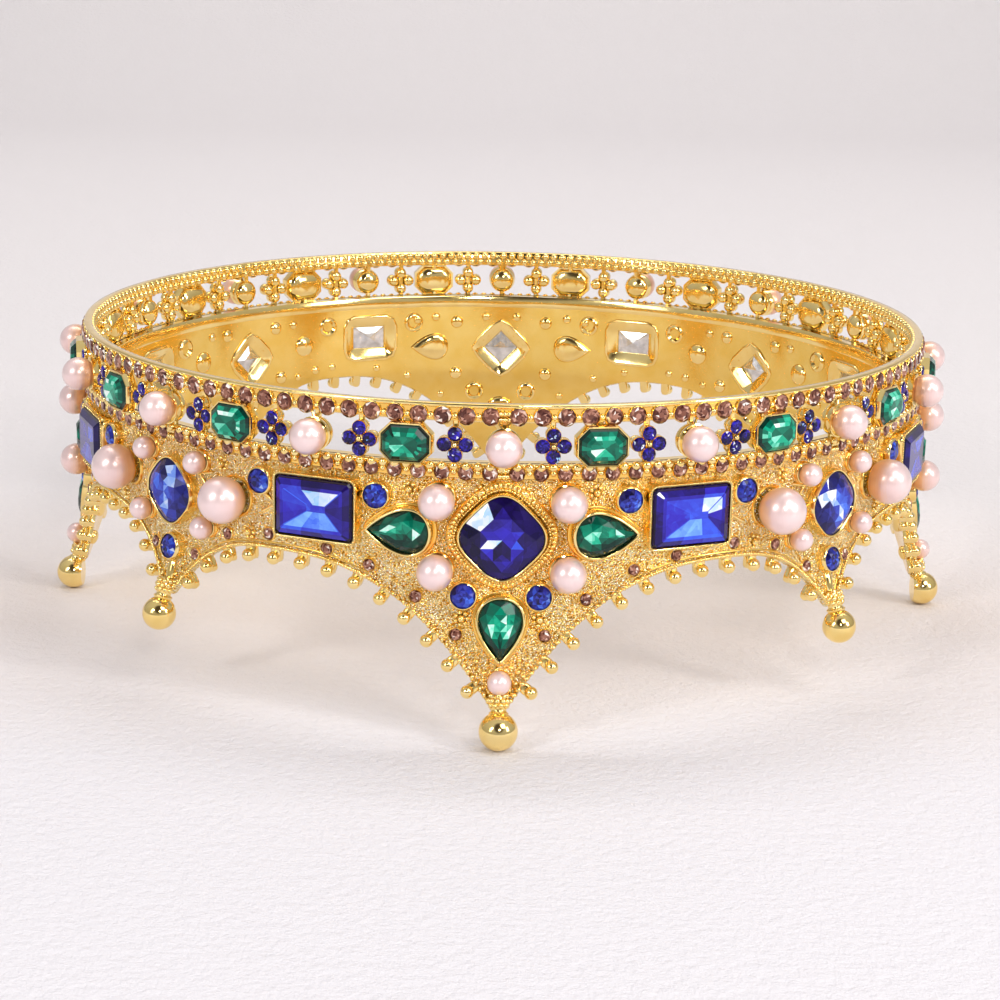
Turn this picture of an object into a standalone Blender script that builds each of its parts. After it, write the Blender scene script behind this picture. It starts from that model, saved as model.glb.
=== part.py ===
"""Bridal crown of gilt metal with glass stones and pearls, standing on four of its eight points.

The crown is a ring about the Z axis. Azimuth 0 is the front, at -Y, and grows towards +X. The four
long points, at azimuths 0, 90, 180 and 270, reach the floor at z = 0, and the four short points
stand between them. Every size below is in millimetres and every angle in degrees.
"""
import math

import bpy
import numpy as np
from mathutils import Matrix, Vector

MM = 0.001

# Plate: its inner radius, its thickness, and how far it leans outwards at the foot of a point
PLATE_INNER = 77.7
PLATE_THICK = 1.5
LEAN_START = 30.0
UPRIGHT_TO = 29.8
LONG_LEAN = 5.2
SHORT_LEAN = 3.9
LEAN_POWER = 1.8

# The two rims, which stand a little proud of the plate
RIM_INNER = 78.7
RIM_OUTER = 80.2
LOWER_RIM_BOTTOM = 44.3
LOWER_RIM_TOP = 47.1
UPPER_RIM_BOTTOM = 53.7
UPPER_RIM_TOP = 57.0
RIM_SEGMENTS = 64

# Points: a long one at the front, a short one 45 degrees on, and so on round the ring
POINTS_OF_A_KIND = 4
LONG_TIP = 6.4
SHORT_TIP = 17.6
CREST_AZIMUTH = 27.3
CREST_HEIGHT = 29.3
LONG_ARCH_POWER = 2.37
SHORT_ARCH_POWER = 3.0
TIP_HALF_ANGLE = 0.8

# Ball tips
BALL_RADIUS = 3.0
BALL_POLARS = (160.0, 116.0, 72.0, 24.0)
LONG_BALL_HEIGHT = -BALL_RADIUS * math.cos(math.radians(BALL_POLARS[0]))
SHORT_BALL_HEIGHT = 14.1
BALL_FORWARD = 0.9
BALL_BACK = 1.9
NECK_RADIUS = 1.3
NECK_SUNK = 1.2

# Edge studs: tapered teeth along each arch, half width, distance from the edge and rise
STUDS_PER_ARCH = 13
STUD_FIRST = 0.85
STUD_ENDS = 0.7
STUD_RADIUS = 1.3
STUD_REACH = 1.45
STUD_RISE = 1.3
STUD_ROOT_DEPTH = 0.55
STUD_BACK = 0.1 - PLATE_THICK
STUD_TAPER = 0.8
STUD_HEAD = 0.65

# Settings
SLACK = 0.3
BEZEL_WALL = 0.5
BEZEL_LIP = 0.1
BEZEL_HEIGHT = 1.9
STONE_BACK = 0.5
BACK_SHARE = 0.6
GIRDLE = 1.7
TABLE_HEIGHT = 2.9
TABLE_SHARE = 0.62
SUNK = 0.6

# Gallery between the rims
GALLERY_FOOT = LOWER_RIM_TOP + SLACK
GALLERY_MIDDLE = 50.4
GALLERY_FACE = 79.4
STEM_SUNK = 0.5

MOTIF_STEP = 360.0 / 64
PEARL_RADIUS = 3.0
PEARL_SIDES = 10
PEARL_FOOT = 0.8
PEARL_FRONT = 0.6

# Stones: width across the band and height along it, both over the girdle
CUSHION_A = 12.0
CUSHION_B = 10.0
CUSHION_POWER = 3.5
RECTANGLE = (14.0, 10.0)
PEAR = (10.0, 7.0)
PEAR_FULLNESS = 0.77
OCTAGON = (8.0, 6.0)
OCTAGON_CORNER = 1.6
CLOVER_REACH = 2.95
CLOVER_WAIST = 1.5
PETAL_HALF_ANGLE = 0.36
LARGE_PEARL = 4.0
PEARL_CUT = 148.0
SMALL_PEARL = 2.0
ROUND_STONE = 2.2

# Where the settings lie: azimuth from their point's or rectangle's middle line, and height
LONG_POINT_PEARLS = [(7.5, 41.0), (7.6, 29.1)]
LONG_POINT_ROUNDS = [(4.4, 24.9)]
LONG_POINT_LOW_PEARL = 10.8
CUSHION_A_HEIGHT = 35.0
CUSHION_B_HEIGHT = 35.7
PEAR_SIDE = (12.15, 35.3)
PEAR_LOW_HEIGHT = 19.35
RECTANGLE_HEIGHT = 37.8
RECTANGLE_ROUNDS = [(7.6, 41.0)]
SHORT_POINT_PEARLS = [(5.0, 41.9), (6.0, 30.7)]
SHORT_POINT_ROUND = 25.5
LARGE_PEARL_SEAT = (10.5, 37.1)


def clear_scene():
    """Removes whatever the scene holds."""
    for item in list(bpy.data.objects):
        bpy.data.objects.remove(item, do_unlink=True)


def finish(name, colour, roughness, metallic):
    """A Principled material with one colour, roughness and metallic value."""
    material = bpy.data.materials.new(name)
    material.use_nodes = True
    shader = material.node_tree.nodes["Principled BSDF"]
    shader.inputs["Base Color"].default_value = (*colour, 1.0)
    shader.inputs["Roughness"].default_value = roughness
    shader.inputs["Metallic"].default_value = metallic
    material.diffuse_color = (*colour, 1.0)
    return material


def short_share(azimuth):
    """0 on a long point's middle line, 1 on a short point's, and a cosine between them."""
    return 0.5 - 0.5 * np.cos(np.radians(4.0 * azimuth))


def plate_radius(azimuth, height):
    """Outer radius: upright above LEAN_START, then leaning out by a power of the way down."""
    share = short_share(azimuth)
    ball = LONG_BALL_HEIGHT + share * (SHORT_BALL_HEIGHT - LONG_BALL_HEIGHT)
    lean = LONG_LEAN + share * (SHORT_LEAN - LONG_LEAN)
    way_down = np.maximum(0.0, LEAN_START - height) / (LEAN_START - ball)
    return PLATE_INNER + PLATE_THICK + lean * way_down ** LEAN_POWER


def edge_height(azimuth):
    """Height of the scalloped edge: crest minus drop times a power of the way to the point."""
    from_long = abs((azimuth + 45.0) % 90.0 - 45.0)
    if from_long < CREST_AZIMUTH:
        way = min(1.0, (CREST_AZIMUTH - from_long) / (CREST_AZIMUTH - TIP_HALF_ANGLE))
        return CREST_HEIGHT - (CREST_HEIGHT - LONG_TIP) * way ** LONG_ARCH_POWER
    way = min(1.0, (from_long - CREST_AZIMUTH) / (45.0 - TIP_HALF_ANGLE - CREST_AZIMUTH))
    return CREST_HEIGHT - (CREST_HEIGHT - SHORT_TIP) * way ** SHORT_ARCH_POWER


def place(azimuth, radius, height):
    """A point on the ring, in millimetres."""
    turn = math.radians(azimuth)
    return Vector((radius * math.sin(turn), -radius * math.cos(turn), height))


def frame_at(azimuth, radius, height, slope=0.0):
    """Local frame: x along the band, y up the plate, z outwards; slope is the radius per height."""
    turn = math.radians(azimuth)
    east = Vector((math.cos(turn), math.sin(turn), 0.0))
    outward = Vector((math.sin(turn), -math.cos(turn), 0.0))
    up = (outward * slope + Vector((0.0, 0.0, 1.0))).normalized()
    face = east.cross(up)
    matrix = Matrix((east, up, face)).transposed().to_4x4()
    matrix.translation = place(azimuth, radius, height)
    return matrix


def seat(azimuth, height):
    """Local frame on the plate's outer face."""
    radius = float(plate_radius(azimuth, height))
    slope = float(plate_radius(azimuth, height + 0.5) - plate_radius(azimuth, height - 0.5))
    return frame_at(azimuth, radius, height, slope)


def ring(outline, scale, level):
    """An outline, scaled about its middle, at a level above the seat."""
    points = np.asarray(outline, float) * scale
    return np.column_stack([points, np.full(len(points), level)])


def round_outline(radius, count):
    """A regular polygon's corners, anticlockwise."""
    turn = 2.0 * math.pi * np.arange(count) / count
    return np.column_stack([radius * np.cos(turn), radius * np.sin(turn)])


def cushion_outline(side, count):
    """Superellipse |u|^p + |v|^p = 1 of the given side, turned so that it stands on a corner."""
    turn = 2.0 * math.pi * np.arange(count) / count + math.pi / 4.0
    u = np.abs(np.cos(turn)) ** CUSHION_POWER
    v = np.abs(np.sin(turn)) ** CUSHION_POWER
    reach = 0.5 * side * (u + v) ** (-1.0 / CUSHION_POWER)
    turn = turn - math.pi / 4.0
    return np.column_stack([reach * np.cos(turn), reach * np.sin(turn)])


def pear_outline(length, width, count, heading):
    """Teardrop x = L/2 cos t, y = W/2 sin t |sin(t/2)| / 0.77, turned so its tip is at the heading."""
    t = 2.0 * math.pi * np.arange(count) / count
    along = 0.5 * length * np.cos(t)
    across = 0.5 * width * np.sin(t) * np.abs(np.sin(t / 2.0)) / PEAR_FULLNESS
    head = math.radians(heading)
    x = along * math.cos(head) - across * math.sin(head)
    y = along * math.sin(head) + across * math.cos(head)
    return np.column_stack([x, y])


def cut_corner_outline(width, height, cut):
    """A rectangle with its corners cut off, anticlockwise from the right side."""
    a, b = 0.5 * width, 0.5 * height
    return np.array([(a, -b + cut), (a, b - cut), (a - cut, b), (-a + cut, b),
                     (-a, b - cut), (-a, -b + cut), (-a + cut, -b), (a - cut, -b)])


def square_outline(width, height):
    """A rectangle's four corners, anticlockwise."""
    a, b = 0.5 * width, 0.5 * height
    return np.array([(a, -b), (a, b), (-a, b), (-a, -b)])


def clover_outline(reach, waist):
    """Four petals with two corners each, and a waist between neighbours."""
    points = []
    for petal in range(4):
        middle = math.radians(90.0 * petal)
        corners = ((-PETAL_HALF_ANGLE, reach), (PETAL_HALF_ANGLE, reach), (math.pi / 4.0, waist))
        for offset, radius in corners:
            points.append((radius * math.cos(middle + offset), radius * math.sin(middle + offset)))
    return np.array(points)


def grow(outline, width):
    """Moves every corner of a convex outline outwards by width, along its corner's mean normal."""
    points = np.asarray(outline, float)
    before = points - np.roll(points, 1, axis=0)
    after = np.roll(points, -1, axis=0) - points
    normals = []
    for edge in (before, after):
        length = np.linalg.norm(edge, axis=1, keepdims=True)
        normals.append(np.column_stack([edge[:, 1], -edge[:, 0]]) / length)
    mean = normals[0] + normals[1]
    share = 1.0 + np.sum(normals[0] * normals[1], axis=1, keepdims=True)
    return points + width * mean / np.maximum(share, 0.5)


class Shells:
    """Closed skins gathered into one mesh, in millimetres."""

    def __init__(self):
        self.points = []
        self.faces = []

    def add(self, points, faces, frame):
        """Adds one skin, carried from its local frame to the crown's."""
        first = len(self.points)
        self.points.extend(frame @ Vector(point) for point in points)
        self.faces.extend(tuple(first + corner for corner in face) for face in faces)

    def add_loft(self, rings, frame):
        """Quads through rings of equal count, with a flat cap at each end, back to front."""
        count = len(rings[0])
        faces = []
        for level in range(len(rings) - 1):
            faces.extend(band_faces(level * count, (level + 1) * count, count))
        faces.append(tuple(range(count - 1, -1, -1)))
        faces.append(tuple(range((len(rings) - 1) * count, len(rings) * count)))
        self.add(np.concatenate(rings), faces, frame)

    def add_bezel(self, outline, frame):
        """A thin wall round a stone, upright inside and sloping outside up to its lip."""
        count = len(outline)
        inner = grow(outline, SLACK)
        loops = [ring(grow(outline, SLACK + BEZEL_WALL), 1.0, -SUNK),
                 ring(grow(outline, SLACK + BEZEL_LIP), 1.0, BEZEL_HEIGHT), ring(inner, 1.0, -SUNK)]
        faces = []
        for level in range(len(loops)):
            faces.extend(band_faces(level * count, (level + 1) % len(loops) * count, count))
        self.add(np.concatenate(loops), faces, frame)

    def build(self, name, material, smooth_angle=40.0):
        """Makes the mesh object, in metres."""
        mesh = bpy.data.meshes.new(name)
        mesh.from_pydata([point * MM for point in self.points], [], self.faces)
        mesh.validate()
        mesh.materials.append(material)
        mesh.shade_smooth()
        mesh.set_sharp_from_angle(angle=math.radians(smooth_angle))
        item = bpy.data.objects.new(name, mesh)
        bpy.context.scene.collection.objects.link(item)
        return item


def band_faces(lower, upper, count):
    """Quads between two loops that start at the given indices."""
    faces = []
    for step in range(count):
        following = (step + 1) % count
        faces.append((lower + step, lower + following, upper + following, upper + step))
    return faces


def weld(target, tool):
    """Joins a tool mesh to the target with a Boolean, and hides the tool."""
    tool.hide_render = True
    tool.display_type = 'WIRE'
    modifier = target.modifiers.new("weld_" + tool.name, 'BOOLEAN')
    modifier.operation = 'UNION'
    modifier.solver = 'EXACT'
    modifier.object = tool
    modifier.material_mode = 'TRANSFER'


def point_azimuths(short):
    """Middle lines of the long points, or of the short ones."""
    first = 45.0 if short else 0.0
    return [first + 360.0 / POINTS_OF_A_KIND * index for index in range(POINTS_OF_A_KIND)]


def both_sides(middle, seats):
    """Mirrors (offset, height) seats about a point's middle line."""
    return [(middle + side * offset, height) for offset, height in seats for side in (-1, 1)]


def plate_shell():
    """The lower rim and the scalloped plate: one profile at each azimuth, carried round the ring."""
    half = np.array([TIP_HALF_ANGLE, 3.2, 7.0, 12.0, 19.0, 27.3, 35.0, 41.0, 45 - TIP_HALF_ANGLE])
    quarter = np.concatenate([half, 90.0 - half[::-1]])
    azimuths = np.concatenate([quarter + 90.0 * step for step in range(POINTS_OF_A_KIND)])
    shells = Shells()
    points = []
    for azimuth in azimuths:
        edge = edge_height(azimuth)
        levels = [LOWER_RIM_BOTTOM, UPRIGHT_TO, edge + 0.5 * (UPRIGHT_TO - edge), edge]
        profile = [(RIM_OUTER, LOWER_RIM_TOP), (RIM_OUTER, LOWER_RIM_BOTTOM)]
        profile += [(float(plate_radius(azimuth, level)), level) for level in levels]
        inner = [(float(plate_radius(azimuth, level)) - PLATE_THICK, level) for level in levels[1:]]
        profile += inner[::-1] + [(PLATE_INNER, LOWER_RIM_TOP)]
        points.extend(place(azimuth, radius, height) for radius, height in profile)
    count = len(profile)
    faces = []
    for column in range(len(azimuths)):
        here = column * count
        there = (column + 1) % len(azimuths) * count
        for step in range(count):
            following = (step + 1) % count
            faces.append((here + step, here + following, there + following, there + step))
    shells.add(points, faces, Matrix.Identity(4))
    return shells


def edge_walk():
    """Places evenly spaced along one arch's edge: azimuth, height and the outward edge normal."""
    azimuth = np.linspace(TIP_HALF_ANGLE, 45.0 - TIP_HALF_ANGLE, 400)
    height = np.array([edge_height(value) for value in azimuth])
    along = np.radians(azimuth) * RIM_OUTER
    run = np.concatenate([[0.0], np.cumsum(np.hypot(np.diff(along), np.diff(height)))])
    pitch = run[-1] / (STUDS_PER_ARCH + STUD_ENDS)
    stations = pitch * (STUD_FIRST + np.arange(STUDS_PER_ARCH))
    slope_along = np.gradient(along, run)
    slope_height = np.gradient(height, run)
    walk = []
    for station in stations:
        tilt_x = float(np.interp(station, run, slope_height))
        tilt_y = -float(np.interp(station, run, slope_along))
        walk.append((float(np.interp(station, run, azimuth)),
                     float(np.interp(station, run, height)), tilt_x, tilt_y))
    return walk


def stud_rings():
    """A tooth rooted in the plate's edge, below its face, with a raised head; y points away."""
    side = STUD_RADIUS
    root = -STUD_REACH - SUNK
    outline = np.array([(-side, root), (side, root), (STUD_TAPER * side, side), (-STUD_TAPER * side, side)])
    back = ring(outline, 1.0, STUD_BACK)
    front = ring(outline, STUD_HEAD, STUD_RISE)
    front[:2, 1] = root
    front[:2, 2] = -STUD_ROOT_DEPTH
    return [back, front]


def stud_shells():
    """All studs of the eight arches."""
    shells = Shells()
    rings = stud_rings()
    for arch in range(2 * POINTS_OF_A_KIND):
        base = 90.0 * (arch // 2)
        for azimuth, height, tilt_x, tilt_y in edge_walk():
            mirrored = arch % 2 == 1
            where = base + (90.0 - azimuth if mirrored else azimuth)
            lean = -tilt_x if mirrored else tilt_x
            spot_azimuth = where + math.degrees(lean * STUD_REACH / RIM_OUTER)
            spot = seat(spot_azimuth, height + tilt_y * STUD_REACH)
            spin = Matrix.Rotation(math.atan2(-lean, tilt_y), 4, 'Z')
            shells.add_loft(rings, spot @ spin)
    return shells


def ball_shells():
    """Ball tips with a flat back."""
    shells = Shells()
    for short, height in ((False, LONG_BALL_HEIGHT), (True, SHORT_BALL_HEIGHT)):
        for azimuth in point_azimuths(short):
            radius = float(plate_radius(azimuth, height))
            frame = frame_at(azimuth, radius + BALL_FORWARD, height)
            shells.add_loft(ball_rings(), frame @ Matrix.Rotation(math.radians(-90.0), 4, 'X'))
    return shells


def ball_rings():
    """Four level rings of a sphere, its back pressed flat at BALL_BACK behind the middle."""
    rings = []
    for polar in BALL_POLARS:
        radius = BALL_RADIUS * math.sin(math.radians(polar))
        outline = round_outline(radius, 10)
        outline[:, 1] = np.minimum(outline[:, 1], BALL_BACK)
        level = BALL_RADIUS * math.cos(math.radians(polar))
        rings.append(np.column_stack([outline, np.full(10, level)]))
    return rings


def neck_shells():
    """Short leaning collars, from inside the plate's tip into the ball."""
    shells = Shells()
    outline = round_outline(NECK_RADIUS, 6)
    for short, ball, tip in ((False, LONG_BALL_HEIGHT, LONG_TIP), (True, SHORT_BALL_HEIGHT, SHORT_TIP)):
        for azimuth in point_azimuths(short):
            low = ball + NECK_SUNK
            high = tip + NECK_SUNK
            foot = frame_at(azimuth, float(plate_radius(azimuth, ball)) + 0.5 * BALL_FORWARD, low)
            head = frame_at(azimuth, float(plate_radius(azimuth, high)) - 0.5 * PLATE_THICK, high)
            lower = [foot @ Vector((x, 0.0, y)) for x, y in outline]
            upper = [head @ Vector((x, 0.0, 0.8 * y)) for x, y in outline]
            shells.add_loft([np.array(upper), np.array(lower)], Matrix.Identity(4))
    return shells


def pearl_rings(radius, height):
    """A pearl over its cup: the cup's foot, the widest ring and the front."""
    outline = round_outline(radius, PEARL_SIDES)
    front = height + math.sqrt(1.0 - PEARL_FRONT ** 2) * radius
    return [ring(outline, PEARL_FOOT, -SUNK), ring(outline, 1.0, height), ring(outline, PEARL_FRONT, front)]


def pearl_shells():
    """Pearls that sit straight on the plate: the long points' and the short points' small ones."""
    shells = Shells()
    medium = pearl_rings(PEARL_RADIUS, PEARL_RADIUS + 0.3)
    small_outline = round_outline(SMALL_PEARL, PEARL_SIDES)
    small = [ring(small_outline, 1.0, -SUNK), ring(small_outline, 0.6, 1.9 * SMALL_PEARL)]
    for middle in point_azimuths(False):
        for azimuth, height in both_sides(middle, LONG_POINT_PEARLS):
            shells.add_loft(medium, seat(azimuth, height))
        shells.add_loft(small, seat(middle, LONG_POINT_LOW_PEARL))
    for middle in point_azimuths(True):
        for azimuth, height in both_sides(middle, SHORT_POINT_PEARLS):
            shells.add_loft(small, seat(azimuth, height))
    return shells


def round_stone_shells():
    """Small round stones in tube settings."""
    shells = Shells()
    outline = round_outline(ROUND_STONE + 0.2, 8)
    rings = [ring(outline, 1.0, -SUNK), ring(outline, 0.8, TABLE_HEIGHT - 0.6)]
    seats = []
    for middle in point_azimuths(False):
        seats += both_sides(middle, LONG_POINT_ROUNDS)
        seats += both_sides(middle + 22.5, RECTANGLE_ROUNDS)
        seats += both_sides(middle - 22.5, RECTANGLE_ROUNDS)
    seats += [(middle, SHORT_POINT_ROUND) for middle in point_azimuths(True)]
    for azimuth, height in seats:
        shells.add_loft(rings, seat(azimuth, height))
    return shells


def stone_seats():
    """Every faceted stone: node name, outline, azimuth and height."""
    rows = []
    cushion_a = cushion_outline(CUSHION_A, 8)
    cushion_b = cushion_outline(CUSHION_B, 8)
    low_pear = pear_outline(*PEAR, 8, -90.0)
    block = cut_corner_outline(*RECTANGLE, 0.5)
    for index, middle in enumerate(point_azimuths(False)):
        rows.append((f"cushion_a_{index + 1}", cushion_a, middle, CUSHION_A_HEIGHT))
        rows.append((f"pear_low_{index + 1}", low_pear, middle, PEAR_LOW_HEIGHT))
        for side, number in ((-1, 1), (1, 2)):
            pear = pear_outline(*PEAR, 8, 0.0 if side > 0 else 180.0)
            rows.append((f"pear_side_{2 * index + number}", pear, middle + side * PEAR_SIDE[0], PEAR_SIDE[1]))
            rows.append((f"rectangle_{2 * index + number}", block, middle + side * 22.5, RECTANGLE_HEIGHT))
    for index, middle in enumerate(point_azimuths(True)):
        rows.append((f"cushion_b_{index + 1}", cushion_b, middle, CUSHION_B_HEIGHT))
    return rows


def bezel_shells():
    """Walls round every faceted stone."""
    shells = Shells()
    for name, outline, azimuth, height in stone_seats():
        if name.startswith("rectangle"):
            outline = square_outline(*RECTANGLE)
        shells.add_bezel(outline, seat(azimuth, height))
    return shells


def make_band(gold, pearl, sapphire):
    """The lower rim and plate, with all that is soldered to it."""
    band = plate_shell().build("band", gold)
    weld(band, bezel_shells().build("bezels", gold))
    weld(band, round_stone_shells().build("round_stones", sapphire))
    weld(band, pearl_shells().build("set_pearls", pearl))
    weld(band, stud_shells().build("studs", gold))
    weld(band, neck_shells().build("necks", gold))
    weld(band, ball_shells().build("balls", gold))
    return band


def rim_shell():
    """The upper rim: a rectangle turned about the axis."""
    shells = Shells()
    corners = [(RIM_OUTER, UPPER_RIM_TOP), (RIM_OUTER, UPPER_RIM_BOTTOM),
               (RIM_INNER, UPPER_RIM_BOTTOM), (RIM_INNER, UPPER_RIM_TOP)]
    points = []
    faces = []
    for column in range(RIM_SEGMENTS):
        azimuth = (column + 0.5) * MOTIF_STEP
        points.extend(place(azimuth, radius, height) for radius, height in corners)
        here = column * 4
        there = (column + 1) % RIM_SEGMENTS * 4
        for step in range(4):
            following = (step + 1) % 4
            faces.append((here + step, here + following, there + following, there + step))
    shells.add(points, faces, Matrix.Identity(4))
    return shells


def with_stem(rings):
    """Stretches a motif's back ring up into the upper rim and down to just above the lower one."""
    back = rings[0]
    height = back[:, 1]
    top = height > height.max() - 0.05
    bottom = height < height.min() + 0.05
    back[top, 1] = UPPER_RIM_BOTTOM + STEM_SUNK - GALLERY_MIDDLE
    back[bottom, 1] = GALLERY_FOOT - GALLERY_MIDDLE
    return rings


def motif_shells(kind):
    """Pearls at every fourth place, octagons between them, clovers in the places left."""
    shells = Shells()
    octagon = cut_corner_outline(*OCTAGON, OCTAGON_CORNER)
    clover = clover_outline(CLOVER_REACH, CLOVER_WAIST)
    shapes = {
        "pearl": pearl_rings(PEARL_RADIUS, PEARL_RADIUS + 0.9),
        "octagon": [ring(octagon, 0.8, 0.0), ring(octagon, 1.0, 2.4), ring(octagon, 0.62, 3.7)],
        "clover": [ring(clover, 1.0, 0.0), ring(clover, 0.85, 2.8)],
    }
    order = ["pearl", "clover", "octagon", "clover"]
    for index in range(RIM_SEGMENTS):
        if order[index % 4] == kind:
            frame = frame_at(index * MOTIF_STEP, GALLERY_FACE, GALLERY_MIDDLE)
            shells.add_loft(with_stem(shapes[kind]), frame)
    return shells


def make_gallery(gold, pearl, sapphire, emerald):
    """The upper rim with the motifs that hang from it."""
    gallery = rim_shell().build("gallery", gold)
    weld(gallery, motif_shells("pearl").build("gallery_pearls", pearl))
    weld(gallery, motif_shells("octagon").build("octagons", emerald))
    weld(gallery, motif_shells("clover").build("clovers", sapphire))
    return gallery


def make_stones(sapphire, emerald):
    """Faceted stones: a flat back, a pavilion, a girdle, a crown of facets and a table."""
    for name, outline, azimuth, height in stone_seats():
        shells = Shells()
        rings = [ring(outline, BACK_SHARE, STONE_BACK), ring(outline, 1.0, GIRDLE),
                 ring(outline, TABLE_SHARE, TABLE_HEIGHT)]
        shells.add_loft(rings, seat(azimuth, height))
        green = name.startswith("pear")
        shells.build(name, emerald if green else sapphire, smooth_angle=5.0)


def make_large_pearls(pearl):
    """The 8 mm pearls beside the short points' cushions: spheres with the plate-side pole cut flat."""
    for index, middle in enumerate(point_azimuths(True)):
        for side, number in ((-1, 1), (1, 2)):
            rings = []
            for polar in (PEARL_CUT, 104.0, 66.0, 28.0):
                outline = round_outline(LARGE_PEARL * math.sin(math.radians(polar)), PEARL_SIDES)
                above_cut = math.cos(math.radians(polar)) - math.cos(math.radians(PEARL_CUT))
                level = SLACK + LARGE_PEARL * above_cut
                rings.append(ring(outline, 1.0, level))
            shells = Shells()
            azimuth = middle + side * LARGE_PEARL_SEAT[0]
            shells.add_loft(rings, seat(azimuth, LARGE_PEARL_SEAT[1]))
            shells.build(f"large_pearl_{2 * index + number}", pearl)


def main():
    """Builds the crown."""
    clear_scene()
    gold = finish("gold", (0.95, 0.66, 0.22), 0.25, 1.0)
    pearl = finish("pearl", (0.93, 0.74, 0.70), 0.22, 0.0)
    sapphire = finish("sapphire", (0.03, 0.05, 0.55), 0.08, 0.0)
    emerald = finish("emerald", (0.01, 0.28, 0.17), 0.08, 0.0)
    make_band(gold, pearl, sapphire)
    make_gallery(gold, pearl, sapphire, emerald)
    make_stones(sapphire, emerald)
    make_large_pearls(pearl)


main()
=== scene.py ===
# %% [markdown]
# A bridal crown of gilt metal, glass stones and pearls, standing on its points. This lesson dresses
# the plain solids of the crown with everything the eye sees up close: granulated gold, beaded edges,
# faceted glass, pearls in their cups. Such a crown could be modelled by hand, bead by bead, but it
# repeats itself hundreds of times, so each cell works out one kind of piece as numpy arrays.

# %% Load the crown's solids
import math

import bpy
import numpy as np
from mathutils import Matrix, Vector


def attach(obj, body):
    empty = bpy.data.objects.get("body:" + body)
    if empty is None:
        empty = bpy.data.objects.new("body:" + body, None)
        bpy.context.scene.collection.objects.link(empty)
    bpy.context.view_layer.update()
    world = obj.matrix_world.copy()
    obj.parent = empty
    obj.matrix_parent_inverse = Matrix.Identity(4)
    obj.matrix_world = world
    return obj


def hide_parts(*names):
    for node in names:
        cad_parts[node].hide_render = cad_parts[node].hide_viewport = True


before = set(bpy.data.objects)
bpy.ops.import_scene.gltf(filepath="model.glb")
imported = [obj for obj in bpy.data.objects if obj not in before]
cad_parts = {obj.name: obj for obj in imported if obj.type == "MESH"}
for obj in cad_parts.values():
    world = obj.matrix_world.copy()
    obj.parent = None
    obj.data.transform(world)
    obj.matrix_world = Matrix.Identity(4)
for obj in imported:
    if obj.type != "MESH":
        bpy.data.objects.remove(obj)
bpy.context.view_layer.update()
MM = 0.001

# %% [markdown]
# The crown is a ring, so a place on it is an azimuth and a height. Azimuth 0 is the front, and it
# grows to the right. Four long points carry the crown and four short ones hang between them, and an
# arch rises from each to the next. All sizes are in millimetres and degrees, as a goldsmith would
# note them, and only the last step turns them into metres.

# %% Sizes of the ring
PLATE_OUTER = 79.2
PLATE_THICK = 1.5
LEAN_START, LEAN_POWER = 30.0, 1.8
LONG_LEAN, SHORT_LEAN = 5.2, 3.9
LONG_BALL, SHORT_BALL = 2.819, 14.1
LONG_TIP, SHORT_TIP = 6.4, 17.6
CREST_AZIMUTH, CREST_HEIGHT = 27.3, 29.3
LONG_ARCH_POWER, SHORT_ARCH_POWER = 2.37, 3.0
TIP_HALF = 0.8
RIM_INNER, RIM_OUTER = 78.7, 80.2
LOWER_RIM = (44.3, 47.1)
UPPER_RIM = (53.7, 57.0)
UP = np.array([0.0, 0.0, 1.0])
LONG_POINTS = np.array([0.0, 90.0, 180.0, 270.0])
SHORT_POINTS = LONG_POINTS + 45.0
print("rims from", LOWER_RIM[0], "to", UPPER_RIM[1], "mm, plate", PLATE_THICK, "mm thick")

# %% [markdown]
# The plate stands upright at the top and leans out towards the foot of each point, and its lower
# edge swings between long and short points. Both could be drawn as curves and bent round the ring.
# The solids have formulas for them, so the same formulas are written here for whole arrays, and
# every piece lands where the solid stands.

# %% The plate's curves
def plate_radius(azimuth, height):
    """Outer radius: upright, then the lean times a power of the way down to the ball."""
    share = 0.5 - 0.5 * np.cos(np.radians(4.0 * azimuth))
    ball = LONG_BALL + share * (SHORT_BALL - LONG_BALL)
    lean = LONG_LEAN + share * (SHORT_LEAN - LONG_LEAN)
    way = np.maximum(0.0, LEAN_START - height) / (LEAN_START - ball)
    return PLATE_OUTER + lean * way ** LEAN_POWER


def edge_height(azimuth):
    """Lower edge: the crest's height minus a drop that grows as a power towards each point."""
    off = np.abs((azimuth + 45.0) % 90.0 - 45.0)
    to_long = np.clip((CREST_AZIMUTH - off) / (CREST_AZIMUTH - TIP_HALF), 0.0, 1.0)
    to_short = np.clip((off - CREST_AZIMUTH) / (45.0 - TIP_HALF - CREST_AZIMUTH), 0.0, 1.0)
    long_drop = (CREST_HEIGHT - LONG_TIP) * to_long ** LONG_ARCH_POWER
    short_drop = (CREST_HEIGHT - SHORT_TIP) * to_short ** SHORT_ARCH_POWER
    return CREST_HEIGHT - long_drop - short_drop


def near_long(azimuth):
    """True where a place belongs to a long point: cos(4 azimuth) is above -0.1."""
    return np.cos(np.radians(4.0 * azimuth)) > -0.1


print("edge height at a long and a short point:", edge_height(np.array([0.0, 45.0])).round(2))

# %% [markdown]
# A stone or a bead is made once, lying flat round its own origin, and then set on the crown many
# times. Each seat is a frame, a 4 x 4 matrix whose axes run along the band, up the plate and out of
# it. Empties and constraints could hold the copies too. Plain matrices do it for a whole row at
# once, and the finished piece stays one mesh with its place in its points.

# %% Places on the crown
def directions(azimuth):
    """East, along the band, and outwards, away from the axis, as unit vectors."""
    turn = np.radians(azimuth)
    flat = np.zeros_like(turn)
    east = np.stack([np.cos(turn), np.sin(turn), flat], axis=-1)
    outward = np.stack([np.sin(turn), -np.cos(turn), flat], axis=-1)
    return east, outward


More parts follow.
